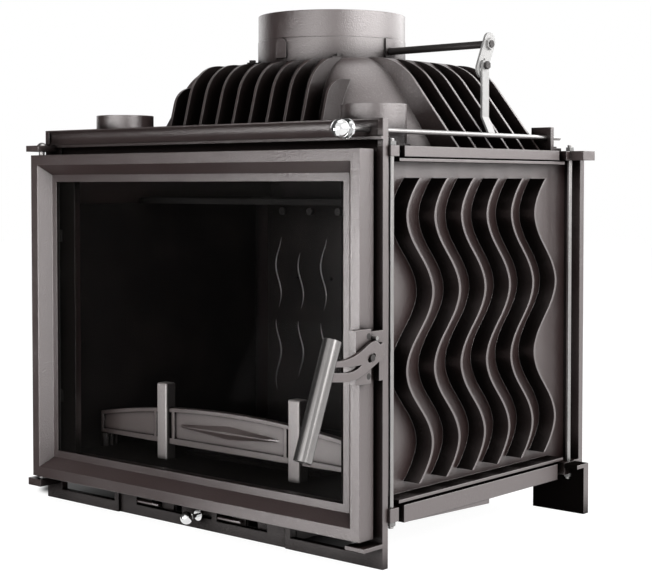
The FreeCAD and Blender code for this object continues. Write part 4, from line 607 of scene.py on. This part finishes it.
class INSERT_OT_paint_castings(bpy.types.Operator):
    """Gives every outer casting and the fender their satin graphite paint"""

    bl_idname = "insert.paint_castings"
    bl_label = "Paint castings"

    def execute(self, context):
        colours = context.scene.insert_finish
        edge = context.scene.insert_detail.edge_round
        dress(CASTINGS, stove_paint("graphite_paint", colours.paint, colours.paint_edge, edge))
        # Painted shade in the fins' gaps and on the faces that do not look sideways
        dress(FINNED_CASTINGS, stove_paint("finned_paint", colours.paint, colours.paint_edge, edge,
                                           gap=(0.1, 0.55), facing_shade=(0.6, 1.0)))
        # Hood: a 2.6 times paler edge colour, part edge wear and part painted highlight on the fin edges,
        # and painted shade on faces that look sideways
        dress(("smoke_hood",), stove_paint("hood_paint", colours.paint, tint(colours.paint_edge, 2.6), edge,
                                           painted_shade=lambda graph: (1 - graph.flank(0.9, 0.97)) * 0.65))
        # Painted shade over all the feet's faces that do not look sideways
        dress(FEET, stove_paint("foot_paint", colours.paint, colours.paint_edge, edge, facing_shade=(1.5, 2.0)))
        # Fender in its paler colour, painted light, with painted shade in its gaps
        dress(("log_fender",), stove_paint("fender_paint", colours.fender, colours.paint_edge, edge,
                                           FENDER_REACH))
        # Posts in their paler colour, painted light, with painted shade on the faces that look sideways
        dress(("fender_posts",), stove_paint("post_paint", colours.post, colours.paint_edge, edge,
                                             FENDER_REACH, painted_shade=lambda graph: (1 - graph.flank()) * 0.8))
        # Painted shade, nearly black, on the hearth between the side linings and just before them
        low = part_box("left_side_liner")[0] - HEARTH_RIM
        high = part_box("right_side_liner")[1]
        dress(("base_plate",), stove_paint("hearth_paint", colours.paint, colours.paint_edge, edge,
                                           painted_shade=lambda graph: graph.within(low, high) * 0.97))
        return {"FINISHED"}


class INSERT_OT_blacken_lining(bpy.types.Operator):
    """Gives the firebox lining, baffle and grate their matt cast finish"""

    bl_idname = "insert.blacken_lining"
    bl_label = "Blacken lining"

    def execute(self, context):
        edge = context.scene.insert_detail.edge_round
        colour = context.scene.insert_finish.liner
        dress(LINERS, fire_lining("lining_iron", colour, edge))
        dress(SOOTED, fire_lining("sooted_iron", tint(colour, 0.4), edge))
        return {"FINISHED"}


class INSERT_OT_finish_fittings(bpy.types.Operator):
    """Gives rods, pins, strips, bolts and the handle's tube their metal finishes"""

    bl_idname = "insert.finish_fittings"
    bl_label = "Finish fittings"

    def execute(self, context):
        colours = context.scene.insert_finish
        edge = context.scene.insert_detail.edge_round / 3
        dress(LONG_RODS, drawn_steel("drawn_rod", colours.steel, (1.0, 0.02, 1.0)))
        dress(UPRIGHT_RODS, drawn_steel("drawn_upright", colours.steel, (1.0, 1.0, 0.02)))
        dress(CROSS_PINS, drawn_steel("drawn_pin", colours.steel, (0.02, 1.0, 1.0)))
        dress(("handle_grip",), drawn_steel("satin_tube", colours.grip, (1.0, 0.6, 0.3), 0.3))
        dress(ZINC_STRIPS, zinc_plate("zinc_strip", colours.zinc, edge))
        dress(DARK_STEEL, black_steel("black_steel", colours.dark_steel, edge))
        dress(BRIGHT_TURNED, chrome_plate("chrome_disc", colours.chrome, edge))
        return {"FINISHED"}


class INSERT_OT_glaze_door(bpy.types.Operator):
    """Gives the door's pane clear fire glass with a smoke film at its rim"""

    bl_idname = "insert.glaze_door"
    bl_label = "Glaze door"

    def execute(self, context):
        low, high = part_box("door_glass")
        dress(("door_glass",), fire_glass("fire_glass", context.scene.insert_finish.glass, low, high))
        return {"FINISHED"}


def ball_profile(radius, neck, length):
    """Profile of a ball on a neck: a straight neck, then r = R sin a, h = c - R cos a up to the pole."""
    centre = length - radius
    angle = np.linspace(math.asin(neck / radius), np.pi, 48)
    ball = np.stack([radius * np.sin(angle), centre - radius * np.cos(angle)], -1)
    return np.concatenate([[[0, 0], [neck, 0]], ball])


class INSERT_OT_turn_knobs(bpy.types.Operator):
    """Turns the two polished ball knobs, of the damper rod and of the air register"""

    bl_idname = "insert.turn_knobs"
    bl_label = "Turn knobs"

    def execute(self, context):
        finish = chrome_plate("chrome_ball", context.scene.insert_finish.chrome, 0.0003)
        rod_low, rod_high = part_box("push_rod")
        stem_low, stem_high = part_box("air_stem")
        knobs = (("rod_knob", "damper_rod", (rod_high.x - rod_low.x) * 0.8),
                 ("air_knob", "air_slide", (stem_high.x - stem_low.x) * 0.5))
        for node, body, neck in knobs:
            low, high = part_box(node)
            radius = (high.x - low.x) / 2
            base = ((low.x + high.x) / 2, high.y, (low.z + high.z) / 2)
            surface = turned(ball_profile(radius, neck, high.y - low.y), base, (0, -1, 0), 72)
            mesh = mesh_of(node, [(surface, False, True)], 60)
            add_piece("turned_" + node, mesh, body, finish, (node,))
        return {"FINISHED"}


class INSERT_OT_braid_seals(bpy.types.Operator):
    """Braids the door's sealing rope and weaves the tape behind the glass edge"""

    bl_idname = "insert.braid_seals"
    bl_label = "Braid seals"

    def execute(self, context):
        finish = glass_rope("graphite_rope", context.scene.insert_finish.rope)
        self.braid_rope(context.scene.insert_detail.braid_pitch, finish)
        self.weave_tape(finish)
        return {"FINISHED"}

    def braid_rope(self, pitch, finish):
        """Rope surface: an oval whose size follows two crossing sets of strands.

        With v round the rope and s along it, the sets are |sin(3v + 2 pi s / pitch)| and the same
        with a minus sign; the higher of the two is the strand on top.
        """
        corner = 0.008
        step = 0.0016
        lift = 0.1
        low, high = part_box("door_rope")
        depth = (high.y - low.y) / 2
        width = depth * 0.93
        centre = ((low.x + high.x) / 2, (low.y + high.y) / 2, (low.z + high.z) / 2)
        points, outward, s = rounded_ring((high.x - low.x) / 2 - width, (high.z - low.z) / 2 - width,
                                          corner, centre, step)
        v = np.linspace(0, TURN, 24, endpoint=False)
        twist = TURN * np.round(s[-1] / pitch) / (s[-1] + s[1])
        first = np.abs(np.sin(3 * v[None, :] + twist * s[:, None]))
        second = np.abs(np.sin(3 * v[None, :] - twist * s[:, None]))
        size = 1 - lift + lift * np.maximum(first, second)
        surface = (points[:, None, :]
                   + (width * size * np.cos(v))[:, :, None] * outward[:, None, :]
                   + (depth * size * np.sin(v))[:, :, None] * Y_AXIS)
        add_piece("braided_rope", mesh_of("braided_rope", [(surface, True, True)], 80), "door",
                  finish, ("door_rope",))

    def weave_tape(self, finish):
        """Tape surface: a flat oval section whose thickness ripples as cos of the place along it."""
        low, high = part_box("glass_gasket")
        half_thick = (high.y - low.y) / 2
        half_width = 0.0042
        corner = 0.005
        step = 0.001
        squareness = 0.3
        centre = ((low.x + high.x) / 2, (low.y + high.y) / 2, (low.z + high.z) / 2)
        points, outward, s = rounded_ring((high.x - low.x) / 2 - half_width,
                                          (high.z - low.z) / 2 - half_width, corner, centre, step)
        v = np.linspace(0, TURN, 12, endpoint=False)
        ripple = 0.85 + 0.15 * np.cos(TURN * np.arange(len(s)) / 3)[:, None]
        flat = np.sign(np.sin(v)) * np.abs(np.sin(v)) ** squareness
        wide = np.sign(np.cos(v)) * np.abs(np.cos(v)) ** squareness
        surface = (points[:, None, :]
                   + (half_width * wide)[None, :, None] * outward[:, None, :]
                   + (half_thick * ripple * flat)[:, :, None] * Y_AXIS)
        add_piece("glass_tape", mesh_of("glass_tape", [(surface, True, True)], 80), "door",
                  finish, ("glass_gasket",))


class INSERT_OT_cast_waves(bpy.types.Operator):
    """Casts rows of wavy ribs on the face of the rear lining"""

    bl_idname = "insert.cast_waves"
    bl_label = "Cast liner waves"

    def execute(self, context):
        """A rib's line is x0 + swing sin(2 pi z / wave); its half-round section swells from both ends."""
        detail = context.scene.insert_detail
        colours = context.scene.insert_finish
        low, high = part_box("rear_liner")
        columns = detail.wave_columns
        pitch = (high.x - low.x) / columns
        margin_low = 0.05
        margin_high = 0.035
        step = ((high.z - margin_high) - (low.z + margin_low)) / 2
        rib_share = 0.86
        stagger_share = 0.18
        t = np.linspace(0, 1, 60)
        v = np.linspace(0, TURN, 12, endpoint=False)
        swell = np.sin(np.pi * t) ** 0.6
        section = np.stack([np.cos(v), np.sin(v) * 0.9, np.zeros(len(v))], -1)
        sheets = []
        for column in range(columns):
            middle = low.x + pitch * (column + 0.5)
            stagger = stagger_share * step if column % 2 else 0.0
            for row in range(2):
                bottom = low.z + margin_low + row * step + stagger * (1 - row)
                z = bottom + (step * rib_share - stagger) * t
                x = middle + detail.wave_swing * np.sin(TURN * (z - low.z) / detail.wave_length)
                centre = np.stack([x, np.full(len(t), low.y), z], -1)
                rib = centre[:, None, :] + detail.rib_width * swell[:, None, None] * section
                sheets.append((rib, False, True))
        finish = stove_paint("wave_paint", colours.liner, colours.paint_edge, detail.edge_round / 2)
        add_piece("liner_waves", mesh_of("liner_waves", sheets, 70), "carcass", finish)
        return {"FINISHED"}


def ledge(x0, x1, low, high):
    """Bar along X with a rounded-square section, closed at drawn-in ends.

    The section is each half side times sign(c) sqrt|c|, where c is the cosine or the sine of the turn.
    """
    v = np.linspace(0, TURN, 40, endpoint=False)
    wave = np.stack([np.cos(v), np.sin(v)], -1)
    section = np.sign(wave) * np.sqrt(np.abs(wave))
    draw = np.array([0.0, 0.7, 0.92, 1.0, 1.0, 0.92, 0.7, 0.0])
    round_in = (high[1] - low[1]) / 4
    x = np.array([x0, x0, x0 + round_in / 3, x0 + round_in, x1 - round_in, x1 - round_in / 3, x1, x1])
    half = (np.asarray(high) - np.asarray(low)) / 2
    across = (np.asarray(high) + np.asarray(low)) / 2 + draw[:, None, None] * section * half
    return np.concatenate([np.broadcast_to(x[:, None, None], across.shape[:2] + (1,)), across], -1)


class INSERT_OT_cast_ledges(bpy.types.Operator):
    """Casts the short ledge that crosses each window of the air register"""

    bl_idname = "insert.cast_ledges"
    bl_label = "Cast register ledges"

    def execute(self, context):
        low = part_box("register_panel")[0]
        low_section = (low.y + 0.0006, low.z + 0.0166)
        high_section = (low.y + 0.0064, low.z + 0.0198)
        length = 0.040
        starts = (-0.117, 0.031)
        sheets = [(ledge(x, x + length, low_section, high_section), False, True) for x in starts]
        colours = context.scene.insert_finish
        finish = stove_paint("ledge_paint", colours.paint, colours.paint_edge, 0.0005, 0.002)
        add_piece("register_ledges", mesh_of("register_ledges", sheets, 50), "carcass", finish)
        return {"FINISHED"}


def hex_nut(base, flat, bore, height, steps=96):
    """Chamfered nut: at turn t and height h its radius is the lesser of the hexagon's and a cone's.

    The hexagon's radius is a / cos(t mod 60 - 30 degrees); the cone rises at 30 degrees from each face.
    """
    turn = np.linspace(0, TURN, steps, endpoint=False)
    hexagon = flat / np.cos(np.mod(turn, np.pi / 3) - np.pi / 6)
    h = height * np.concatenate([[0, 0.02], np.linspace(0.04, 0.96, 15), [0.98, 1]])
    cone = 0.97 * flat + np.minimum(h, height - h) / math.tan(math.radians(30))
    radius = np.minimum(hexagon[None, :], cone[:, None])
    radius = np.concatenate([np.full((1, steps), bore), radius, np.full((1, steps), bore)])
    h = np.concatenate([[0], h, [height]])
    return np.asarray(base) + np.stack([radius * np.cos(turn), radius * np.sin(turn),
                                        np.broadcast_to(h[:, None], radius.shape)], -1)


def threaded_end(base, radius, length, pitch, way, steps=40):
    """Thread: radius r + d |2 frac(h / pitch - t / 2 pi) - 1|, closed by a chamfered end."""
    turn = np.linspace(0, TURN, steps, endpoint=False)
    h = np.linspace(0, length, 36)
    phase = np.mod(h[:, None] / pitch - turn[None, :] / TURN, 1.0)
    crest = radius * (1.0 + 0.1 * np.abs(2 * phase - 1))
    crest *= 1 - 0.12 * np.clip((h[:, None] - length + pitch / 2) / (pitch / 2), 0, 1)
    crest = np.concatenate([np.zeros((1, steps)), crest, np.zeros((1, steps))])
    h = np.concatenate([[0], h, [length]]) * way
    return np.asarray(base) + np.stack([crest * np.cos(turn), crest * np.sin(turn),
                                        np.broadcast_to(h[:, None], crest.shape)], -1)


class INSERT_OT_thread_tie_rods(bpy.types.Operator):
    """Makes the tie rods' chamfered nuts and their threaded ends"""

    bl_idname = "insert.thread_tie_rods"
    bl_label = "Thread tie rods"

    def execute(self, context):
        """The rod's radius follows from how far the nuts' corners and flats stand out past the rods."""
        nut_low, nut_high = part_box("tie_rod_nuts")
        rod_low, rod_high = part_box("tie_rods")
        corner_past = nut_high.x - rod_high.x
        flat_past = nut_high.y - rod_high.y
        radius = (corner_past - flat_past) / (2 / math.sqrt(3) - 1) - flat_past
        flat = flat_past + radius
        pitch = context.scene.insert_detail.thread_pitch
        height = pitch * 5
        length = rod_high.z - nut_high.z + height
        nuts = []
        threads = []
        for x in (rod_low.x + radius, rod_high.x - radius):
            for y in (rod_low.y + radius, rod_high.y - radius):
                nuts.append((hex_nut((x, y, nut_high.z - height), flat, radius, height), True, True))
                nuts.append((hex_nut((x, y, nut_low.z), flat, radius, height), True, True))
                for z, way in ((nut_high.z - height, 1), (nut_low.z + height, -1)):
                    threads.append((threaded_end((x, y, z), radius, length, pitch, way), False, True))
        colours = context.scene.insert_finish
        finish = zinc_plate("zinc_nut", tuple(c * 0.6 for c in colours.zinc), 0.0003)
        add_piece("chamfered_nuts", mesh_of("chamfered_nuts", nuts, 25), "carcass", finish,
                  ("tie_rod_nuts",))
        add_piece("rod_threads", mesh_of("rod_threads", threads, 50), "carcass",
                  drawn_steel("thread_steel", colours.steel, (1.0, 1.0, 1.0)))
        return {"FINISHED"}


class INSERT_OT_set_fender_feet(bpy.types.Operator):
    """Sets the fluted feet under both ends of the log fender"""

    bl_idname = "insert.set_fender_feet"
    bl_label = "Set fender feet"

    def execute(self, context):
        """Section: x = depth (0.62 + 0.38 |sin(3 pi u)|) along the foot's length u, with rounded ends.

        The section is drawn in to a rounded top.
        """
        fender_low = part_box("log_fender")[0]
        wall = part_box("left_side_liner")[1].x
        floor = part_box("base_plate")[1].z
        depth = 0.010
        length = 0.025
        set_back = 0.010
        play = 0.0006
        start = fender_low.y + set_back
        height = fender_low.z - floor - play
        u = np.linspace(0, 1, 61)
        z = np.concatenate([np.linspace(0, 0.8, 5), 0.8 + 0.2 * np.sin(np.linspace(0.2, 1, 8) * np.pi / 2)])
        draw = np.sqrt(np.clip(1 - np.clip((z - 0.8) / 0.2, 0, 1) ** 2 * 0.75, 0, 1))
        flutes = 0.62 + 0.38 * np.abs(np.sin(3 * np.pi * u))
        front = depth * flutes * np.sin(np.pi * np.clip(u, 0.02, 0.98)) ** 0.15
        outline_x = np.concatenate([front, np.zeros(2)])
        outline_y = np.concatenate([u, [1.0, 0.0]]) * length
        sheets = []
        for side in (1, -1):
            x = (wall + outline_x[None, :] * draw[:, None]) * side
            y = start + length / 2 + (outline_y[None, :] - length / 2) * (0.9 + 0.1 * draw[:, None])
            zz = np.broadcast_to(floor + height * z[:, None], x.shape)
            body = np.stack([x, y, zz], -1)
            cap = body[-1:].mean(axis=1, keepdims=True) + np.zeros_like(body[-1:])
            under = body[:1].mean(axis=1, keepdims=True) + np.zeros_like(body[:1])
            sheets.append((np.concatenate([under, body, cap]), False, True))
        colours = context.scene.insert_finish
        # The feet take the fender's paler colour: painted light
        finish = stove_paint("fender_foot_paint", colours.fender, colours.paint_edge, 0.0006)
        add_piece("fender_feet", mesh_of("fender_feet", sheets, 50), "carcass", finish)
        return {"FINISHED"}


def softbox(name, place, target, width, height, level):
    """Area lamp of a given radiance: its power is four times radiance times area."""
    lamp = bpy.data.lights.new(name, "AREA")
    lamp.shape = "RECTANGLE"
    lamp.size = width
    lamp.size_y = height
    lamp.energy = 4 * level * width * height
    lit = bpy.data.objects.new(name, lamp)
    bpy.context.scene.collection.objects.link(lit)
    lit.location = place
    aim = np.asarray(target, float) - np.asarray(place, float)
    lit.rotation_mode = "QUATERNION"
    lit.rotation_quaternion = Vector(aim).to_track_quat("-Z", "Y")
    lit.visible_camera = False


class INSERT_OT_set_stage(bpy.types.Operator):
    """Sets the pale floor, the lamps, the sky and the camera"""

    bl_idname = "insert.set_stage"
    bl_label = "Set stage"

    def execute(self, context):
        stage = context.scene.insert_stage
        self.lay_floor(stage)
        self.hang_cove()
        self.light(stage)
        self.light_sky(context.scene, stage)
        self.place_camera(context.scene, stage)
        context.scene.view_settings.view_transform = "Standard"
        return {"FINISHED"}

    def seen_directly(self, graph):
        """1 for rays from the camera, from gloss and through glass, which all see the backdrop."""
        camera = graph.node("LightPath", output="Is Camera Ray")
        gloss = graph.node("LightPath", output="Is Glossy Ray")
        glass = graph.node("LightPath", output="Is Transmission Ray")
        return graph.node("Math", {"operation": "MINIMUM"}, {0: camera + gloss + glass, 1: 1.0})

    def stage_piece(self, name, points, faces):
        mesh = bpy.data.meshes.new(name)
        mesh.from_pydata(points.tolist(), [], faces.tolist())
        piece = bpy.data.objects.new(name, mesh)
        bpy.context.scene.collection.objects.link(piece)
        return piece

    def lay_floor(self, stage):
        """Floor that reads white, but for a band of painted shade under the case, behind the sill's windows.
        """
        x, y = np.meshgrid([-FLOOR_REACH, FLOOR_REACH], [-FLOOR_REACH, FLOOR_REACH], indexing="ij")
        corners = np.stack([x, y, 0 * x], -1).reshape(-1, 3)
        floor = self.stage_piece("floor", corners, grid_faces(2, 2, False, False))
        material, graph = new_finish("pale_floor")
        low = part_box("base_plate")[0]
        x = graph.along("X")
        y = graph.along("Y")
        slant = y + x * BAND_SLANT
        under = graph.ramp(y, low.y - 0.01, low.y + 0.02) * (1 - graph.ramp(y, low.y + 0.21, low.y + 0.34))
        under = under * graph.ramp(slant, low.y - 0.375, low.y - 0.35)
        under = under * (1 - graph.ramp(slant, low.y + 0.27, low.y + 0.30))
        under = under * graph.ramp(x, low.x - 0.1, low.x - 0.05)
        matt = graph.node("BsdfDiffuse", None, {"Color": tint(stage.floor)})
        part_matt = graph.node("BsdfDiffuse", None, {"Color": tint(stage.floor, FLOOR_MATT)})
        light = graph.blend(under, WHITE, BLACK)
        glow = graph.node("Emission", None, {"Color": light, "Strength": FLOOR_GLOW})
        seen = graph.node("AddShader", None, {0: part_matt, 1: glow})
        graph.node("OutputMaterial", None, {
            "Surface": graph.node("MixShader", None, {0: self.seen_directly(graph), 1: matt, 2: seen})})
        floor.data.materials.append(material)

    def hang_cove(self):
        """Dark cloth at the left, out of the camera's view: a patch of a sphere and a sector of floor.

        The cove's place is reach (cos e sin a, -cos e cos a, sin e), and the floor's is the same at
        e = 0 with a growing reach.
        """
        around = np.radians(np.linspace(-15, -150, 32))
        rise = np.radians(np.linspace(0, 80, 16))
        a, e = np.meshgrid(around, rise, indexing="ij")
        cove = COVE_REACH * np.stack([np.cos(e) * np.sin(a), -np.cos(e) * np.cos(a), np.sin(e)], -1)
        a, u = np.meshgrid(np.radians(np.linspace(-8, -150, 72)), np.linspace(0, 1, 4), indexing="ij")
        before_front = np.minimum(CLOTH_FRONT / np.abs(np.cos(a)), CLOTH_NEAR)
        near = np.where(a > math.radians(-56), before_front, CLOTH_NEAR)
        r = near + u * (np.where(a > math.radians(-40), CLOTH_REACH, COVE_REACH) - near)
        cloth = np.stack([r * np.sin(a), -r * np.cos(a), CLOTH_LIFT + 0 * r], -1)
        material, graph = new_finish("dark_cloth")
        matt = graph.node("BsdfDiffuse", None, {"Color": CLOTH_GREY})
        graph.node("OutputMaterial", None, {"Surface": matt})
        for name, points in (("dark_cove", cove), ("dark_cloth", cloth)):
            rows, columns = points.shape[:2]
            piece = self.stage_piece(name, points.reshape(-1, 3), grid_faces(rows, columns, False, False))
            piece.data.materials.append(material)
            piece.visible_camera = False
            piece.visible_diffuse = False
            piece.visible_shadow = False

    def light(self, stage):
        softbox("front_softbox", (0.72, -2.0, 0.52), (0.0, 0.0, 0.4), 1.1, 1.0, stage.key_level)
        softbox("low_softbox", (-0.45, -1.5, 0.2), (-0.45, 0.0, 0.2), 0.9, 0.39, stage.low_level)
        softbox("side_softbox", (2.15, 0.5, 1.36), (0.2, 0.1, 0.4), 3.0, 1.5, stage.side_level)
        softbox("rear_softbox", (0.5, 2.3, 1.3), (0.0, 0.2, 0.5), 2.2, 1.2, stage.rear_level)
        softbox("left_softbox", (-2.2, 0.7, 1.2), (-0.2, 0.1, 0.4), 1.6, 1.3, stage.left_level)
        softbox("top_softbox", (0.2, -0.1, 2.4), (0.0, 0.0, 0.5), 1.3, 1.3, stage.top_level)

    def light_sky(self, scene, stage):
        world = bpy.data.worlds.new("studio_sky")
        world.use_nodes = True
        graph = Graph(world.node_tree)
        seen = self.seen_directly(graph)
        strength = seen + (1 - seen) * stage.sky_level
        sky = graph.node("Background", None, {"Color": WHITE, "Strength": strength})
        graph.node("OutputWorld", None, {"Surface": sky})
        scene.world = world

    def place_camera(self, scene, stage):
        data = bpy.data.cameras.new("camera")
        data.sensor_width = 36.0
        data.lens = stage.focal_pixels / IMAGE_WIDTH * data.sensor_width
        data.shift_y = -(IMAGE_HEIGHT / 2 - stage.axis_row) / IMAGE_WIDTH
        camera = bpy.data.objects.new("camera", data)
        scene.collection.objects.link(camera)
        camera.location = stage.camera_place
        camera.rotation_euler = (math.pi / 2 - stage.camera_dip, 0.0, stage.camera_turn)
        scene.camera = camera


class INSERT_PT_looks(bpy.types.Panel):
    """Lists the insert's settings and steps"""

    bl_idname = "INSERT_PT_looks"
    bl_label = "Fireplace insert"
    bl_space_type = "VIEW_3D"
    bl_region_type = "UI"
    bl_category = "Insert"

    def draw(self, context):
        scene = context.scene
        for settings in (scene.insert_finish, scene.insert_detail, scene.insert_stage):
            box = self.layout.box()
            for name in settings.__annotations__:
                box.prop(settings, name)
        for step in STEPS:
            self.layout.operator(step.bl_idname)


STEPS = (INSERT_OT_paint_castings, INSERT_OT_blacken_lining, INSERT_OT_finish_fittings, INSERT_OT_glaze_door,
         INSERT_OT_turn_knobs, INSERT_OT_braid_seals, INSERT_OT_cast_waves, INSERT_OT_cast_ledges,
         INSERT_OT_thread_tie_rods, INSERT_OT_set_fender_feet, INSERT_OT_set_stage)
CLASSES = (FinishSettings, DetailSettings, StageSettings) + STEPS + (INSERT_PT_looks,)


def register():
    for kind in CLASSES:
        bpy.utils.register_class(kind)
    bpy.types.Scene.insert_finish = bpy.props.PointerProperty(type=FinishSettings)
    bpy.types.Scene.insert_detail = bpy.props.PointerProperty(type=DetailSettings)
    bpy.types.Scene.insert_stage = bpy.props.PointerProperty(type=StageSettings)


def unregister():
    del bpy.types.Scene.insert_stage
    del bpy.types.Scene.insert_detail
    del bpy.types.Scene.insert_finish
    for kind in reversed(CLASSES):
        bpy.utils.unregister_class(kind)


def main():
    register()
    bpy.ops.insert.paint_castings()
    bpy.ops.insert.blacken_lining()
    bpy.ops.insert.finish_fittings()
    bpy.ops.insert.glaze_door()
    bpy.ops.insert.turn_knobs()
    bpy.ops.insert.braid_seals()
    bpy.ops.insert.cast_waves()
    bpy.ops.insert.cast_ledges()
    bpy.ops.insert.thread_tie_rods()
    bpy.ops.insert.set_fender_feet()
    bpy.ops.insert.set_stage()


if __name__ == "__main__":
    main()
